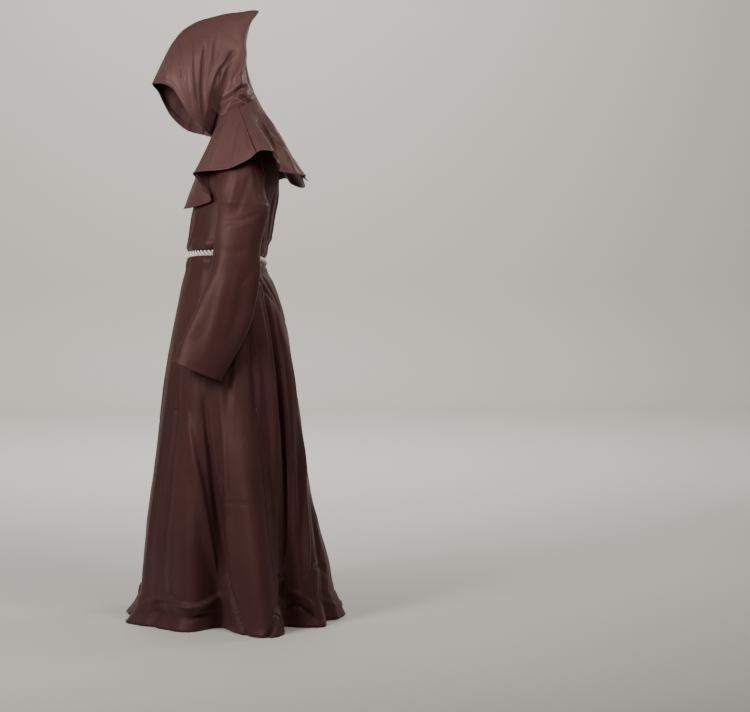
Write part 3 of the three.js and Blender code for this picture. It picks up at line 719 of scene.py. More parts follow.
# Rows of stitching: the edge of the grid that they follow, how far in from it, half the width
# of their groove, its depth, and the rise of the turned hem beside them.
HEM_TURN = 22
ROBE_SEAMS = (
    ("first", 0, 2.5, 0.9, 0),
    ("last", 0, 2.5, 0.9, 0),
    ("bottom", HEM_TURN, 2.5, 0.5, 0.5),
)

# Rows and columns of a panel; CLOSER draws the columns together at the wearer's left side,
# where the folds are finest.
ROBE_ROWS = 222
ROBE_COLUMNS = 214
CLOSER = 0.45
ABOVE_FLOOR = 0.3


def gathers(angle, height):
    """How far the gathers at the belt move the cloth; they are deepest beside the rope."""
    degrees = np.degrees(angle)
    above = height - (ROBE["side"][WAIST_ROW] - SHOULDER_HEIGHT + belt_tilt(angle))
    total = np.zeros_like(angle)
    for k in range(len(GATHERS["angle"])):
        g = {name: values[k] for name, values in GATHERS.items()}
        run = np.abs(above) / np.where(above > 0, g["above"], g["below"])
        centre = g["angle"] - g["lean"] * np.clip(-above / GATHER_LEAN_OVER, -1, 2)
        apart = (degrees - centre + 180) % 360 - 180
        fade = np.exp(-GATHER_FADE * run**1.3) * np.clip(np.abs(above) / SMOOTH_AT_ROPE, 0.25, 1)
        total += g["depth"] * bell(apart / (g["wide"] * (1 + 0.5 * run))) * fade
    blouse = BLOUSE * bell((np.abs(above) - BLOUSE_AWAY) / BLOUSE_AWAY)
    return total + blouse - CINCH * bell(above / CINCH_HALF)


def even_rows(count):
    """Row numbers that are evenly spaced along the cloth, down the middle of the back."""
    fine = np.linspace(0, ROBE_LAST, 600)
    path = robe_point(np.full_like(fine, np.pi / 2), fine)
    run = np.concatenate([[0], np.linalg.norm(np.diff(path, axis=0), axis=-1).cumsum()])
    return np.interp(np.linspace(0, run[-1], count), run, fine)


def robe_panel(which):
    """The outer side of the front or the back panel, from the wearer's one side to the other."""
    rows = even_rows(ROBE_ROWS)
    ring = robe_ring(rows)
    hole = np.maximum(armhole_angle(rows), SEAM / ring["half"])
    seam = np.radians(ring["seam"])
    across = np.linspace(0, 1, ROBE_COLUMNS)
    across = across * (1 - CLOSER * (1 - across) * (1 if which == "back" else -1))
    low = seam + hole if which == "back" else np.pi - seam + hole
    high = np.pi - seam - hole if which == "back" else 2 * np.pi + seam - hole
    angle = mix(low[:, None], high[:, None], across[None, :])
    grid = robe_point(angle, np.repeat(rows[:, None], ROBE_COLUMNS, 1))
    creases = SKIRT_CREASES + TORSO_CREASES
    return pressed(grid, -1, creases, ROBE_WAVES, ROBE_SEAMS, gathers(angle, grid[..., 2]))


# Each panel before it was gathered in: its width at the hem, its length and its area.
ROBE_CUTS = {"front": (1.3, 1.55, 1.15), "back": (1.0, 1.6, 0.8)}
for which, (wide, long, area) in ROBE_CUTS.items():
    panel = cloth_mesh(f"robe_{which}_cloth", robe_panel(which), -1, floor=FLOOR / MM + ABOVE_FLOOR)
    dress(panel, robe_satin, f"robe_{which}")

# The two sleeves: one piece of the same satin each, with a domed cap set into the
# armhole, one seam on the inner side and a turned, stitched hem at the wide cuff.
CUFF_SPREAD = 16  # how much farther out the wearer's right cuff hangs
SLEEVE_HEM = 14
SLEEVE_ROWS = 150
SLEEVE_COLUMNS = 112
SLEEVE_WAVES = ((150, 0.9, 5), (60, 0.2, 6))
SLEEVE_SEAMS = (
    ("bottom", SLEEVE_HEM, 3.4, 1.2, 0.8),
    ("first", 0, 2.5, 0.9, 0),
    ("last", 0, 2.5, 0.9, 0),
)

# Rings from below the armpit to the cuff: place and height of the sleeve's front and back
# edge, and how far its inner and outer side lie from the robe's middle.
SLEEVE = table(
    "foreY foreHeight backY backHeight inner outer",
    (-40, 1196, 108, 1188, 161.5, 250),
    (-42, 1150, 96, 1138, 164, 252),
    (-49, 1104, 86, 1088, 172, 254),
    (-55, 1058, 83, 1036, 174, 256),
    (-67, 1008, 78, 982, 174, 258),
    (-85, 958, 68, 924, 179, 260),
    (-105, 905, 50, 862, 188, 262),
    (-126, 852, 24, 804, 194, 264),
    (-148, 802, -5, 750, 197, 266),
    (-166, 759, -31, 703, 196, 268),
)

# The cap, at rows of the robe: how far out its ridge lies.
SLEEVE_CAP = table(
    "row outer", (3.15, 166), (3.5, 184), (4, 200), (5, 225), (6, 240), (7, 246), (8, 249)
)
CAP_WIDEST = 6  # the row where the cap is as deep as the sleeve

# Dents across the sleeve: where along it, where round it (0 inner, 0.25 front), how
# deep, and how long and wide.
SLEEVE_DENTS = (
    (7.6, 0.42, 5, 1.2, 0.2),
    (9.2, 0.68, 7, 1.4, 0.12),
    (10.4, 0.32, 5, 2.2, 0.1),
    (12.6, 0.6, 4, 2.4, 0.12),
    (14, 0.4, 4, 2, 0.12),
)
SLEEVE_CREASES = (
    ("left", 2.2, 16, (22, 1302), (11, 1257), (-6, 1204), (-28, 1145)),
    ("left", -2.4, 15, (53, 1296), (42, 1251), (25, 1206), (8, 1159)),
    ("left", -2.2, 6, (-34, 1148), (-6, 1150), (25, 1156), (56, 1167), (87, 1181)),
    ("left", 1.6, 12, (-31, 1131), (-3, 1134), (28, 1139), (59, 1150), (84, 1162)),
    ("left", 3.5, 10, (76, 1330), (84, 1290), (98, 1260), (106, 1229), (118, 1195)),
    ("left", -3, 10, (62, 1307), (70, 1268), (78, 1234), (92, 1195)),
    ("left", -1.6, 22, (-45, 1083), (-17, 1066), (17, 1066), (56, 1083)),
    ("left", -2.6, 24, (39, 1038), (31, 974), (14, 890), (-11, 803)),
    ("left", 2, 22, (-11, 1038), (-25, 960), (-48, 876), (-76, 786)),
    ("left", -1.4, 14, (67, 1038), (50, 1005), (31, 982), (11, 971)),
    ("back", -6, 9, (224, 1191), (207, 1179), (190, 1176), (167, 1185)),
    ("back", 3, 10, (229, 1216), (207, 1208), (184, 1208), (161, 1216)),
    ("back", -3, 18, (195, 1142), (210, 1058), (212, 958), (210, 845), (218, 754)),
    ("back", 2.5, 18, (221, 1151), (232, 1058), (235, 930), (232, 788)),
    ("back", -2, 12, (156, 1086), (173, 1038), (190, 987), (201, 930)),
    ("back", -3, 18, (-201, 1242), (-210, 1142), (-215, 1029), (-224, 902), (-229, 760)),
    ("back", 2.5, 16, (-178, 1213), (-190, 1123), (-201, 1038), (-204, 930)),
    ("back", -3, 10, (-167, 1134), (-190, 1120), (-212, 1117), (-238, 1128)),
    ("back", 2, 15, (-241, 1100), (-244, 987), (-249, 873), (-258, 771)),
    ("back", -2, 12, (-156, 1038), (-176, 1004), (-198, 975), (-218, 930)),
    ("right", -2.6, 8, (-28, 1140), (0, 1146), (34, 1158), (80, 1176)),
    ("right", 1.8, 12, (-40, 1118), (-8, 1124), (30, 1136), (76, 1156)),
    ("right", -2.6, 22, (30, 1060), (22, 960), (4, 870), (-20, 780)),
    ("right", 2, 22, (-20, 1020), (-34, 930), (-60, 830), (-84, 770)),
    ("right", 2.4, 16, (30, 1300), (18, 1250), (4, 1200), (-14, 1150)),
    ("front", -2.6, 18, (206, 1100), (218, 1000), (224, 900), (226, 800)),
    ("front", 2.4, 14, (240, 1080), (244, 980), (246, 880), (244, 790)),
    ("front", -2.6, 18, (-208, 1090), (-224, 980), (-234, 870), (-240, 790)),
)


def sleeve_sections():
    """The left sleeve's sections: middle, half sizes, lean, and where each leaves the armhole."""
    rows = SLEEVE_CAP["row"]
    hole = armhole_angle(rows)
    front, back = robe_point(-hole, rows), robe_point(hole, rows)
    widest = np.minimum(rows, CAP_WIDEST)
    reach = armhole_angle(widest)
    depth = (robe_point(reach, widest)[:, 1] - robe_point(-reach, widest)[:, 1]) / 2
    gap = (back[:, 1] - front[:, 1]) / 2
    share = np.clip(gap / depth, 0, 1)
    start = np.where(rows > CAP_WIDEST, np.arcsin(share), np.pi / 2)
    half = (SLEEVE_CAP["outer"] - ARM_PLANE - SEAM) / (1 + np.cos(start))
    cap = {
        "x": SLEEVE_CAP["outer"] - half, "half": half, "start": start,
        "y": (front[:, 1] + back[:, 1]) / 2, "depth": depth,
        "z": (front[:, 2] + back[:, 2]) / 2, "lift": (front[:, 2] - back[:, 2]) / 2 * share,
    }
    s = SLEEVE
    arm = {
        "x": (s["inner"] + s["outer"]) / 2, "half": (s["outer"] - s["inner"]) / 2,
        "start": np.zeros_like(s["inner"]),
        "y": (s["foreY"] + s["backY"]) / 2, "depth": (s["backY"] - s["foreY"]) / 2,
        "z": (s["foreHeight"] + s["backHeight"]) / 2 - SHOULDER_HEIGHT,
        "lift": (s["foreHeight"] - s["backHeight"]) / 2,
    }
    return {name: np.concatenate([cap[name], arm[name]]) for name in cap}


def sleeve_grid(hand):
    """The outer side of a sleeve; hand is 1 for the wearer's left one and -1 for the right one."""
    sections = sleeve_sections()
    last = len(sections["x"]) - 1
    first_ring = len(SLEEVE_CAP["row"]) - 1
    rows = np.linspace(0, last, SLEEVE_ROWS)[:, None]
    u = np.linspace(0, 1, SLEEVE_COLUMNS)[None, :]
    at = {name: column(sections, name, rows) for name in sections}
    turn = at["start"] + u * 2 * (np.pi - at["start"])
    dent = sum(deep * bell((rows - along) / long) * bell((u - around) / wide)
               for along, around, deep, long, wide in SLEEVE_DENTS)
    half, depth = at["half"] - dent, at["depth"] - dent
    spread = CUFF_SPREAD * np.clip((rows - first_ring) / (last - first_ring), 0, 1) ** 2 * (hand < 0)
    x = np.maximum(at["x"] + spread - half * np.cos(turn), ARM_PLANE + SEAM)
    grid = np.stack([x * hand, at["y"] - depth * np.sin(turn), at["z"] + at["lift"] * np.sin(turn)], -1)
    return pressed(grid, -hand, SLEEVE_CREASES, SLEEVE_WAVES, SLEEVE_SEAMS)


for name, hand in (("left", 1), ("right", -1)):
    sleeve = cloth_mesh(f"sleeve_{name}_cloth", sleeve_grid(hand), -hand)
    dress(sleeve, robe_satin, f"sleeve_{name}")

# The shoulder cape: a front and a back piece of the same satin as the robe, sewn together over the
# shoulders, falling in flutes to a narrow stitched hem. Its slightly lighter brown is painted light
# from above.
# Painted light: the cape's two colours are the robe's satin made lighter for the light from above.
CAPE_COLOUR_PAINTED_LIGHTER = "#5c403f"
CAPE_SHADE_PAINTED_LIGHTER = "#472f2e"
CAPE_SHINE = 0.46
CAPE_ROWS = 84
CAPE_COLUMNS = 290
CAPE_HEM_TURN = 9
CAPE_GAP = 0.12  # degrees between a piece's edge and the shoulder seam
CAPE_WAVES = ((110, 1.0, 8), (42, 0.35, 9))
CAPE_SEAMS = (
    ("bottom", CAPE_HEM_TURN, 3.2, 1.1, 0.8),
    ("first", 0, 2.5, 1.0, 0),
    ("last", 0, 2.5, 1.0, 0),
    ("top", 9, 2.0, 0.4, 0),
)
NECKLINE = dict(side=1478, front=1391, back=1515, half=95, fore=61, rear=73, mid=6)
CAPE_OVAL = dict(side=1340, front=1191, back=1265, half=270, fore=138, rear=205, mid=20)
CAPE_MIDDLE_Y = 20

# The hem's flutes, round the wearer: how far out the hem lies, its height, and how many
# degrees it swings round the chest, which lays the front over in an S-shaped fold.
CAPE_HEM = table(
    "angle reach height turn",
    (-90, 158, 1190, 0),
    (-70, 158, 1192, 5),
    (-57, 162, 1200, 17),
    (-48, 166, 1212, 20),
    (-42, 186, 1254, 8),
    (-37, 214, 1287, 0),
    (-25, 232, 1293, 0),
    (-8, 246, 1297, 0),
    (5, 264, 1322, 0),
    (13, 282, 1350, 0),
    (20, 284, 1346, 0),
    (27, 256, 1310, 0),
    (34, 206, 1294, 0),
    (46, 234, 1286, 0),
    (58, 226, 1284, 0),
    (70, 200, 1276, 0),
    (81, 204, 1270, 0),
    (88, 196, 1274, 0),
    (94, 180, 1304, 0),
    (100, 194, 1268, 0),
    (110, 208, 1256, 0),
    (122, 222, 1254, 0),
    (133, 214, 1266, 0),
    (143, 232, 1284, 0),
    (151, 232, 1278, 0),
    (160, 262, 1298, 0),
    (169, 286, 1340, 0),
    (176, 292, 1360, 0),
    (184, 282, 1346, 0),
    (194, 250, 1302, 0),
    (206, 232, 1290, 0),
    (217, 210, 1285, 0),
    (223, 184, 1250, -7),
    (230, 166, 1211, -17),
    (240, 162, 1199, -13),
    (252, 158, 1192, -4),
)
CAPE_CREASES = (
    ("left", 6, (8, 12), (90, 1479), (110, 1436), (138, 1383), (167, 1326), (187, 1287)),
    ("left", -6, (10, 8), (68, 1473), (88, 1428), (107, 1388), (127, 1346)),
    ("left", 5, 10, (48, 1462), (45, 1416), (51, 1377), (62, 1337)),
    ("left", -5, (9, 13), (23, 1462), (14, 1416), (3, 1366), (-8, 1303)),
    ("left", 5, (13, 9), (-6, 1462), (-23, 1411), (-42, 1354), (-65, 1292)),
    ("left", -5, 11, (-34, 1428), (-54, 1383), (-76, 1337), (-96, 1292)),
    ("back", -3, 8, (125, 1446), (127, 1397), (133, 1327), (153, 1256)),
    ("back", -7, 10, (105, 1417), (96, 1361), (91, 1304), (88, 1253)),
    ("back", 5, 9, (76, 1429), (65, 1372), (59, 1310), (57, 1259)),
    ("back", -6, 7, (57, 1463), (45, 1412), (34, 1355), (25, 1304)),
    ("back", -6, 7, (20, 1463), (8, 1400), (-3, 1332), (-11, 1273)),
    ("back", 3, 7, (37, 1451), (25, 1400), (14, 1349), (11, 1304)),
    ("back", -7, 12, (-102, 1437), (-122, 1392), (-144, 1349), (-170, 1293)),
    ("back", 5, 12, (-150, 1429), (-176, 1395), (-198, 1358), (-212, 1310)),
    ("back", -7, 10, (255, 1361), (246, 1338), (241, 1315), (235, 1293)),
    ("back", 4, 9, (190, 1412), (201, 1361), (204, 1310), (195, 1259)),
    ("back", -3, 12, (-51, 1426), (-59, 1372), (-65, 1312), (-71, 1259)),
    ("right", 4, 10, (70, 1456), (80, 1410), (96, 1362), (120, 1310)),
    ("right", -4, 10, (30, 1446), (26, 1400), (14, 1350), (4, 1306)),
    ("right", 3.5, 11, (0, 1436), (-14, 1390), (-34, 1344), (-56, 1300)),
    ("front", -5, 10, (-60, 1380), (-78, 1330), (-92, 1280), (-100, 1216)),
    ("front", 5, 10, (-30, 1370), (-40, 1320), (-48, 1270), (-52, 1204)),
    ("front", -5, 10, (16, 1366), (20, 1310), (22, 1260), (26, 1202)),
    ("front", 4, 11, (54, 1376), (70, 1324), (80, 1270), (88, 1210)),
)


def station(rows, name, degrees):
    """A smooth curve round a closed ring of stations, each at its own angle."""
    angles, values = rows["angle"], rows[name]
    count = len(angles)
    turned = angles[0] + (degrees - angles[0]) % 360
    k = np.searchsorted(angles, turned, side="right") - 1
    around = np.concatenate([angles - 360, angles, angles + 360])
    level = np.tile(values, 3)
    slope = np.diff(level) / np.diff(around)
    both = slope[:-1] * slope[1:]
    even = 2 * both / np.where(both <= 0, 1, slope[:-1] + slope[1:])
    ease = np.concatenate([[0], np.where(both <= 0, 0, even), [0]])
    n = k + count
    wide = around[n + 1] - around[n]
    t = (turned - around[n]) / wide
    return hermite(t, level[n], level[n + 1], ease[n] * wide, ease[n + 1] * wide)


def cape_point(angle, down):
    """Points on the cape's outer side, from its neckline (down is 0) to its fluted hem (1)."""
    top, plain = oval(angle, **NECKLINE), oval(angle, **CAPE_OVAL)
    reach = station(CAPE_HEM, "reach", np.degrees(angle))
    height = station(CAPE_HEM, "height", np.degrees(angle)) - SHOULDER_HEIGHT
    aim = angle + np.radians(station(CAPE_HEM, "turn", np.degrees(angle)))
    hem = np.stack([reach * np.cos(aim), CAPE_MIDDLE_Y + reach * np.sin(aim), height], -1)
    drop = np.stack([down, down, power(down, mix(1, 1.15, np.abs(np.cos(angle))))], -1)
    return mix(top, plain, drop) + (hem - plain) * power(down, 1.5)[..., None]


def cape_grid(low, high):
    """The outer side of a piece of the cape between two shoulder seams, given in degrees."""
    around = np.radians(np.linspace(low + CAPE_GAP, high - CAPE_GAP, CAPE_COLUMNS))
    angle, down = np.meshgrid(around, np.linspace(0, 1, CAPE_ROWS))
    return pressed(cape_point(angle, down), -1, CAPE_CREASES, CAPE_WAVES, CAPE_SEAMS)


# The cape's material: the robe's satin with painted light, a lighter brown where light from above
# falls.
cape_satin_painted_lighter = satin_material("cape_satin_polyester_painted_lighter", CAPE_COLOUR_PAINTED_LIGHTER, CAPE_SHADE_PAINTED_LIGHTER, CAPE_SHINE)
CAPE_SPANS = {"back": (10, 171), "front": (171, 370)}
for which, (low, high) in CAPE_SPANS.items():
    cape = cloth_mesh(f"cape_{which}_cloth", cape_grid(low, high), -1)
    dress(cape, cape_satin_painted_lighter, f"cape_{which}")

# The hood: two side pieces sewn along the crown into a point at the back, gathered into
# the cape's neckline, with a stitched hem turned in round the face.
HOOD_TURN = 16  # degrees to the wearer's left
HOOD_AXIS_Y = 8
NECK_LAP = 2.6  # how far the hood's neck edge lies outside the cape's neckline
NECK_DROP = 3
HOOD_ROWS = 190
HOOD_COLUMNS = 120
HOOD_WAVES = ((90, 0.9, 11), (38, 0.35, 12))

# The hem of the face opening: a turned strip, one ply thick, between two rows of the hood.
HEM_WIDTH = 18
HEM_PLY = 1.0
HEM_GAP = 1.1
HEM_ROWS = 150
HEM_COLUMNS = 12
HEM_START = 7
HEM_END = 13.6
HOOD_SEAMS = (
    ("first", 0, 2.5, 1.2, 0),
    ("last", HEM_WIDTH, 3.4, 1.0, 0.6),
)

# Sections of the left side, from the nape over the point to the forehead: the crown seam,
# the edge, half the width, and how full the cloth is beside the seam. Up to the point, the
# neckline takes the place of the edge.
HOOD = table(
    "crownY crownH edgeX edgeY edgeH wide round",
    (67, 1520, 12, 72.5, 1516, 7, 0.8),
    (53, 1560, 46, 66, 1511, 82, 0.8),
    (47, 1606, 76, 45, 1499, 101, 0.75),
    (46, 1650, 92, 18, 1485, 107, 0.68),
    (49, 1692, 93, -14, 1459, 108, 0.6),
    (62, 1732, 76, -43, 1417, 105, 0.5),
    (84, 1765, 36.3, -57.5, 1401, 100, 0.42),
    (30, 1761, 58, -75, 1406, 100, 0.55),
    (-28, 1750, 84, -108, 1418, 104, 0.7),
    (-86, 1735, 95, -138, 1442, 107, 0.75),
    (-135, 1708, 98, -160, 1468, 108, 0.75),
    (-171, 1670, 92, -181, 1502, 104, 0.75),
    (-197, 1624, 79, -198, 1530, 92, 0.75),
    (-216, 1582, 52, -219, 1544, 66, 0.8),
    (-232, 1548, 16, -231, 1546, 24, 0.8),
)
HOOD_POINT_ROW = 6
FREE_ROW = 8  # from here on the edge is free of the cape
HOOD_LAST = len(HOOD["wide"]) - 1

# Where each section up to the point meets the neckline, in degrees round it.
HOOD_NECK = table("angle", (88,), (62,), (36,), (10,), (-16,), (-43,), (-70,))

# A section is one arc: its two bends lie at these shares of the way from crown to edge.
SHOULDER_SHARE = 0.1
CHEEK_SHARE = 0.62
CHEEK_FULLNESS = 1.14

# The cloth falls straight from the point to the neck, so its sides are drawn forward there
# and at the nape, and then smoothed from row to row.
POINT_FORWARD = 40
POINT_REACH = 2.6
NAPE_FORWARD = 30
NAPE_ROW = 2.5
SMOOTHING_PASSES = 324

# Hollows of each side: the row, how it leans, half its width in rows, and its depth.
HOOD_FOLDS = ((9.2, 0.6, 0.8, 9), (7.6, -0.9, 0.9, 7), (11.4, 0.4, 0.7, 5), (4.6, 0.8, 0.9, 6))
HOOD_CREASES = (
    ("left", -6, (9, 13), (-158, 1687), (-147, 1635), (-138, 1583), (-132, 1526)),
    ("left", 3.5, 10, (-187, 1641), (-184, 1606), (-184, 1572), (-181, 1531)),
    ("left", 5, (13, 11), (-112, 1687), (-115, 1618), (-112, 1543), (-98, 1445)),
    ("left", -8, (13, 11), (-69, 1675), (-78, 1595), (-81, 1514), (-72, 1416)),
    ("left", -6, (9, 13), (17, 1646), (-6, 1618), (-29, 1583), (-55, 1514)),
    ("left", 5, (10, 13), (-3, 1641), (-26, 1606), (-49, 1563), (-69, 1491)),
    ("left", 7, (11, 15), (43, 1669), (37, 1626), (26, 1583), (-3, 1543)),
    ("left", -13, (12, 14), (-29, 1485), (-3, 1511), (23, 1528), (52, 1543)),
    ("left", 5, 10, (-60, 1485), (-35, 1462), (-6, 1459), (26, 1482)),
    ("left", 3, 15, (-40, 1715), (-55, 1669), (-60, 1629), (-60, 1589)),
    ("back", -4, 6, (25, 1548), (11, 1525), (-3, 1502), (-14, 1474)),
    ("back", -4, 6, (0, 1565), (-6, 1536), (-11, 1508), (-17, 1474)),
    ("back", 3, 6, (14, 1553), (3, 1525), (-8, 1497), (-11, 1474)),
    ("back", -8, 10, (105, 1519), (91, 1505), (76, 1491), (59, 1474)),
    ("back", 5, 11, (71, 1638), (85, 1599), (93, 1559), (99, 1525)),
    ("back", -5, 9, (31, 1661), (45, 1615), (54, 1570), (57, 1525)),
    ("back", 4, 10, (-51, 1638), (-57, 1593), (-54, 1542), (-42, 1497)),
    ("right", -7, 11, (-70, 1650), (-66, 1590), (-60, 1520), (-56, 1440)),
    ("right", 5, 10, (-104, 1640), (-100, 1580), (-98, 1510), (-92, 1440)),
    ("right", -5, 9, (10, 1630), (-10, 1600), (-30, 1570), (-44, 1530)),
    ("right", 5, 11, (44, 1620), (30, 1590), (12, 1562), (-6, 1530)),
    ("right", -7, 12, (-10, 1510), (12, 1516), (30, 1524), (50, 1540)),
    ("front", -3, 9, (-50, 1700), (-54, 1670), (-60, 1640), (-66, 1600)),
)


def hood_point(t, row):
    """Points on the left side's outer face, from the crown seam (t is 0) to the edge (1)."""
    at = {name: column(HOOD, name, row) for name in HOOD}
    t, row = np.broadcast_arrays(t, row)
    crown = np.stack(np.broadcast_arrays(SEAM / 2, at["crownY"], at["crownH"] - SHOULDER_HEIGHT), -1)
    outside = {name: NECKLINE[name] + NECK_LAP for name in ("half", "fore", "rear")}
    degrees = column(HOOD_NECK, "angle", np.minimum(row, HOOD_POINT_ROW))
    neck = oval(np.radians(degrees), **NECKLINE | outside)
    neck[..., 2] -= NECK_DROP
    opening = np.stack(np.broadcast_arrays(at["edgeX"], at["edgeY"], at["edgeH"] - SHOULDER_HEIGHT), -1)
    edge = np.where((row < HOOD_POINT_ROW)[..., None], neck, opening)
    shoulder, cheek = mix(crown, edge, SHOULDER_SHARE), mix(crown, edge, CHEEK_SHARE)
    shoulder[..., 0] = at["wide"] * at["round"]
    cheek[..., 0] = at["wide"] * CHEEK_FULLNESS
    forward = bell((row - HOOD_POINT_ROW) / POINT_REACH)
    nape = NAPE_FORWARD * bell((row - NAPE_ROW) / NAPE_ROW)
    shoulder[..., 1] -= POINT_FORWARD * forward + nape
    cheek[..., 1] -= POINT_FORWARD / 3 * forward + nape
    dent = sum(deep * bell((row - along - lean * (t - 0.5)) / wide) * np.sin(np.pi * t)
               for along, lean, wide, deep in HOOD_FOLDS)
    s = (1 - t)[..., None]
    u = t[..., None]
    p = s**3 * crown + 3 * s**2 * u * shoulder + 3 * s * u**2 * cheek + u**3 * edge
    p[..., 0] = np.maximum(p[..., 0] - dent, SEAM / 2)
    return p


def turn_hood(p, t, row):
    """Turns the hood to the wearer's left, but leaves its neckline on the cape's."""
    held = np.clip((FREE_ROW - row) / (FREE_ROW - HOOD_POINT_ROW), 0, 1) * np.clip(t, 0, 1) ** 1.5
    turn = np.radians(HOOD_TURN) * (1 - held)
    y = p[..., 1] - HOOD_AXIS_Y
    across = p[..., 0] * np.cos(turn) - y * np.sin(turn)
    along = HOOD_AXIS_Y + p[..., 0] * np.sin(turn) + y * np.cos(turn)
    return np.stack([across, along, p[..., 2]], -1)


def softened(grid, t):
    """The grid with its middle smoothed along the rows; its two edges stay where they are."""
    even = grid.copy()
    for _ in range(SMOOTHING_PASSES):
        even[1:-1] = (even[:-2] + 2 * even[1:-1] + even[2:]) / 4
    return mix(grid, even, fading_ends(t)[..., None])


def hood_grid(hand):
    """The outer side of one hood side; hand is 1 for the wearer's left and -1 for the right."""
    t, row = np.meshgrid(np.linspace(0, 1, HOOD_COLUMNS), np.linspace(0, HOOD_LAST, HOOD_ROWS))
    p = softened(hood_point(t, row), t)
    p[..., 0] *= hand
    return pressed(turn_hood(p, t, row), -hand, HOOD_CREASES, HOOD_WAVES, HOOD_SEAMS)


def hood_hem_grid(hand):
    """The hem's strip, which lies inside the face opening along its edge."""
    row = np.linspace(HEM_START, HEM_END, HEM_ROWS)[:, None]
    last_tenth = hood_point(np.array(0.9), row) - hood_point(np.array(1.0), row)
    long = np.maximum(10 * np.linalg.norm(last_tenth, axis=-1), 60)
    t = 1 - HEM_WIDTH * np.linspace(1, 0, HEM_COLUMNS)[None, :] / long
    p = hood_point(t, row)
    step = 0.01
    along_t = hood_point(t + step, row) - hood_point(t - step, row)
    along_row = hood_point(t, row + step) - hood_point(t, row - step)
    inward = np.cross(along_t, along_row)
    p += inward / np.linalg.norm(inward, axis=-1, keepdims=True) * (CLOTH + HEM_GAP)
    p[..., 0] = np.maximum(p[..., 0], SEAM / 2) * hand
    return turn_hood(p, t, row)


# The hood takes the cape's satin, whose lighter brown is painted light from above.
for name, hand in (("left", 1), ("right", -1)):
    hood = cloth_mesh(f"hood_{name}_cloth", hood_grid(hand), -hand)
    dress(hood, cape_satin_painted_lighter, f"hood_{name}")
    hem = cloth_mesh(f"hood_hem_{name}_cloth", hood_hem_grid(hand), -hand, thick=HEM_PLY)
    dress(hem, cape_satin_painted_lighter, f"hood_hem_{name}")

# The belt: a three-strand natural cotton rope, laid by machine, that draws the robe in
# at the waist and is tied on the wearer's right front with two short ends.
ROPE_RADIUS = 8.2
ROPE_LAY = 39  # length of one turn of a strand
ROPE_STEPS = 620
STRANDS = 3
STRAND_RADIUS = 3.7
STRAND_OFFSET = 4.7  # from the rope's middle to a strand's
STRAND_SIDES = 14
GROOVE_SHADE_REACH = 4.6  # the painted groove shade is darkest up to here from the rope's middle
YARNS = 7
YARN_DEPTH = 0.07
YARN_TWIST = 0.16  # radians a millimetre
TAPER = 2.5  # length over which the end of a strand is rounded
COTTON_COLOUR = "#fbf4ec"
COTTON_SHADE = "#e8dccf"
# The groove colour is painted shade between the strands.
COTTON_GROOVE_PAINTED_SHADE = "#8a786c"
FIBRE_WIDTH = 0.714
FIBRE_LENGTH = 3.85


def cotton_material():
    """Undyed cotton yarn: soft and matt, with painted shade in the grooves between the strands, and
    loose fibres. The fibres are wider than the real ones, so that they show."""
    made, tree = new_material("natural_cotton_rope")
    yarn = node(tree, "ShaderNodeUVMap", {"uv_map": "cloth"})
    spun = node(tree, "ShaderNodeMapping",
                inputs={"Scale": (spacing(FIBRE_WIDTH), spacing(FIBRE_LENGTH), 1)},
                links={"Vector": yarn.outputs["UV"]})
    fibres = node(tree, "ShaderNodeTexNoise", inputs={"Scale": 1, "Detail": 3, "Roughness": 0.6},
                  links={"Vector": spun.outputs["Vector"]})
    colour = node(tree, "ShaderNodeMix", {"data_type": "RGBA"},
                  {6: linear(COTTON_SHADE), 7: linear(COTTON_COLOUR)}, {0: fibres.outputs["Fac"]})
    # Painted shade: the cotton is darker where a point lies deep between the strands.
    painted_shade_crest = node(tree, "ShaderNodeAttribute", {"attribute_name": "painted_shade_crest"})
    painted_groove_shade = node(tree, "ShaderNodeMix", {"data_type": "RGBA"}, {6: linear(COTTON_GROOVE_PAINTED_SHADE)},
                 {0: painted_shade_crest.outputs["Fac"], 7: colour.outputs[2]})
    bump = node(tree, "ShaderNodeBump", inputs={"Strength": 0.5, "Distance": 0.4 * MM},
                links={"Height": fibres.outputs["Fac"]})
    cotton = node(tree, "ShaderNodeBsdfPrincipled",
                  inputs={"Roughness": 0.92, "Specular IOR Level": 0.25,
                          "Sheen Weight": 0.3, "Sheen Roughness": 0.6},
                  links={"Base Color": painted_groove_shade.outputs[2], "Normal": bump.outputs["Normal"]})
    node(tree, "ShaderNodeOutputMaterial", links={"Surface": cotton.outputs["BSDF"]})
    return made


def unit(vectors):
    """The same directions, each of length one."""
    return vectors / np.linalg.norm(vectors, axis=-1, keepdims=True)


def around(turn, out, up):
    """Directions at an angle round a path, from its outward and its upward one."""
    return np.cos(turn)[..., None] * out + np.sin(turn)[..., None] * up


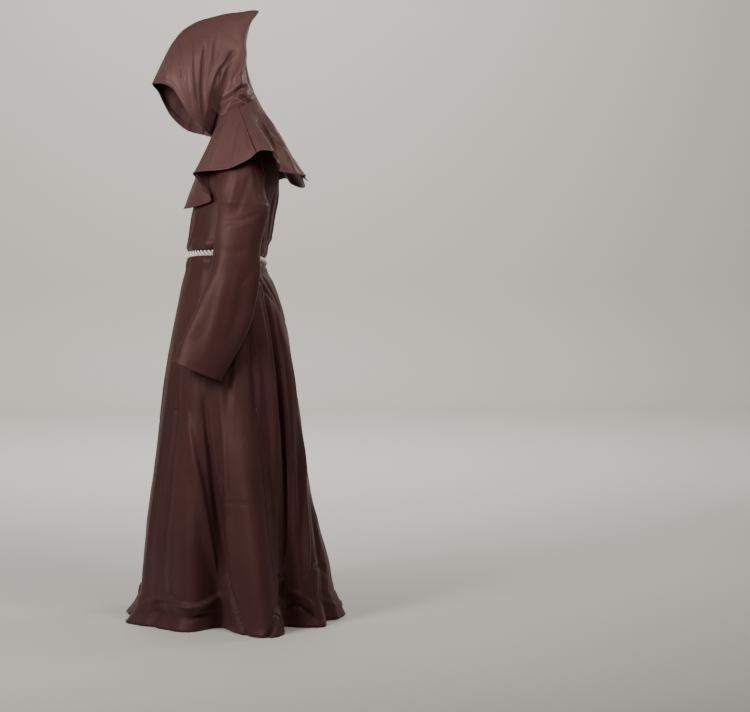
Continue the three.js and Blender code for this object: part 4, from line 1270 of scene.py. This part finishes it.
def strands(path, out):
    """The strands laid along a path, each as points, faces, lengths and crests, which set the painted
    shade in the grooves; out points away from the cloth."""
    along = unit(np.gradient(path, axis=0))
    out = unit(out - (out * along).sum(1, keepdims=True) * along)
    up = np.cross(along, out)
    run = np.concatenate([[0], np.linalg.norm(np.diff(path, axis=0), axis=1).cumsum()])
    side = np.arange(STRAND_SIDES) * 2 * np.pi / STRAND_SIDES
    yarn = 1 + YARN_DEPTH * np.cos(YARNS * (side[None, :] + run[:, None] * YARN_TWIST))
    taper = np.clip(np.minimum(run, run[-1] - run) / TAPER, 0.05, 1) ** 0.5
    ring = around(side[None, :], out[:, None], up[:, None])
    ring = ring * (STRAND_RADIUS * yarn * taper[:, None])[..., None]
    index = np.arange(len(path) * STRAND_SIDES).reshape(len(path), STRAND_SIDES)
    following = np.roll(index, -1, 1)
    quads = np.stack([index[:-1], following[:-1], following[1:], index[1:]], -1).reshape(-1, 4)
    faces = quads.tolist() + [index[0][::-1].tolist(), index[-1].tolist()]
    girth = np.broadcast_to(side * STRAND_RADIUS, index.shape)
    lengths = np.stack([girth, np.broadcast_to(run[:, None], index.shape)], -1).reshape(-1, 2) * MM
    parts = []
    for strand in range(STRANDS):
        turn = 2 * np.pi * (run / ROPE_LAY + strand / STRANDS)
        arm = around(turn, out, up) * STRAND_OFFSET
        # How far each point lies out from the rope's middle sets the painted shade in the grooves.
        reach = np.linalg.norm(arm[:, None] + ring, axis=-1)
        painted_shade_crests = smooth((reach - GROOVE_SHADE_REACH) / (ROPE_RADIUS - GROOVE_SHADE_REACH)).ravel()
        points = (path[:, None] + arm[:, None] + ring).reshape(-1, 3)
        parts.append((points, faces, lengths, painted_shade_crests))
    return parts


def rope_piece(name, parts):
    """One mesh from the strands of one or more lengths of rope."""
    starts = np.cumsum([0] + [len(points) for points, *_ in parts])
    faces = [[int(start) + k for k in face] for start, part in zip(starts, parts) for face in part[1]]
    points, lengths, painted_shade_crests = (np.concatenate([part[k] for part in parts]) for k in (0, 2, 3))
    made = mesh_piece(name, points, faces, lengths)
    # The crests become an attribute that the cotton reads for its painted groove shade.
    height = made.data.attributes.new("painted_shade_crest", "FLOAT", "POINT")
    height.data.foreach_set("value", painted_shade_crests)
    return made


def rope_point(angle):
    """The middle of the rope round the waist, and the way out from the cloth there."""
    out = np.stack([np.cos(angle), np.sin(angle), 0 * angle], -1)
    return robe_point(angle, np.full_like(angle, WAIST_ROW)) + out * (ROPE_RADIUS + 1 - CINCH), out


# The knot, where the belt's two ends meet: its place round the waist, half the gap between
# the ends, and two turns round the belt, this far across, out and up.
KNOT_ANGLE = math.radians(234)
KNOT_GAP = 6.8
KNOT_ACROSS = 9
KNOT_OUT = 8
KNOT_UP = 13
KNOT_FORWARD = 5
KNOT_START = -0.9
KNOT_STOP = 4 * math.pi + 0.2
KNOT_STEPS = 150

# The two ends: the side that each falls to, and its length. They start below the knot, a
# little apart and off the cloth, spread on the way down and come nearer to the cloth.
BELT_ENDS = ((-1, 44), (1, 38))
END_STEPS = 44
END_BELOW = 8
END_APART = 5
END_SPREAD = 13
END_OUT = 12
END_NEARER = 6


def belt_parts():
    """The rope round the waist, from one side of the knot to the other."""
    centre, _ = rope_point(np.array([KNOT_ANGLE]))
    half = KNOT_GAP / np.linalg.norm(centre[0, :2])
    angle = np.linspace(KNOT_ANGLE + half, KNOT_ANGLE + 2 * np.pi - half, ROPE_STEPS)
    return strands(*rope_point(angle))


def knot_parts():
    """Two turns round the belt and two ends that hang below them."""
    (centre,), (out,) = rope_point(np.array([KNOT_ANGLE]))
    up = np.array([0.0, 0.0, 1.0])
    side = np.cross(up, out)
    turn = np.linspace(KNOT_START, KNOT_STOP, KNOT_STEPS)
    across = np.linspace(-KNOT_ACROSS, KNOT_ACROSS, KNOT_STEPS)[:, None]
    loop = centre + out * KNOT_FORWARD + side * across + around(turn, out * KNOT_OUT, up * KNOT_UP)
    parts = strands(loop, around(turn, out, up))
    t = np.linspace(0, 1, END_STEPS)[:, None]
    for way, long in BELT_ENDS:
        sway = side * way * (END_APART + END_SPREAD * t**1.4) + out * (END_OUT - END_NEARER * t)
        end = centre + sway - up * (END_BELOW + long * t)
        parts += strands(end, np.broadcast_to(out, end.shape))
    return parts


cotton = cotton_material()
for name, parts in (("rope_belt", belt_parts()), ("belt_knot", knot_parts())):
    dress(rope_piece(f"{name}_rope", parts), cotton, name)
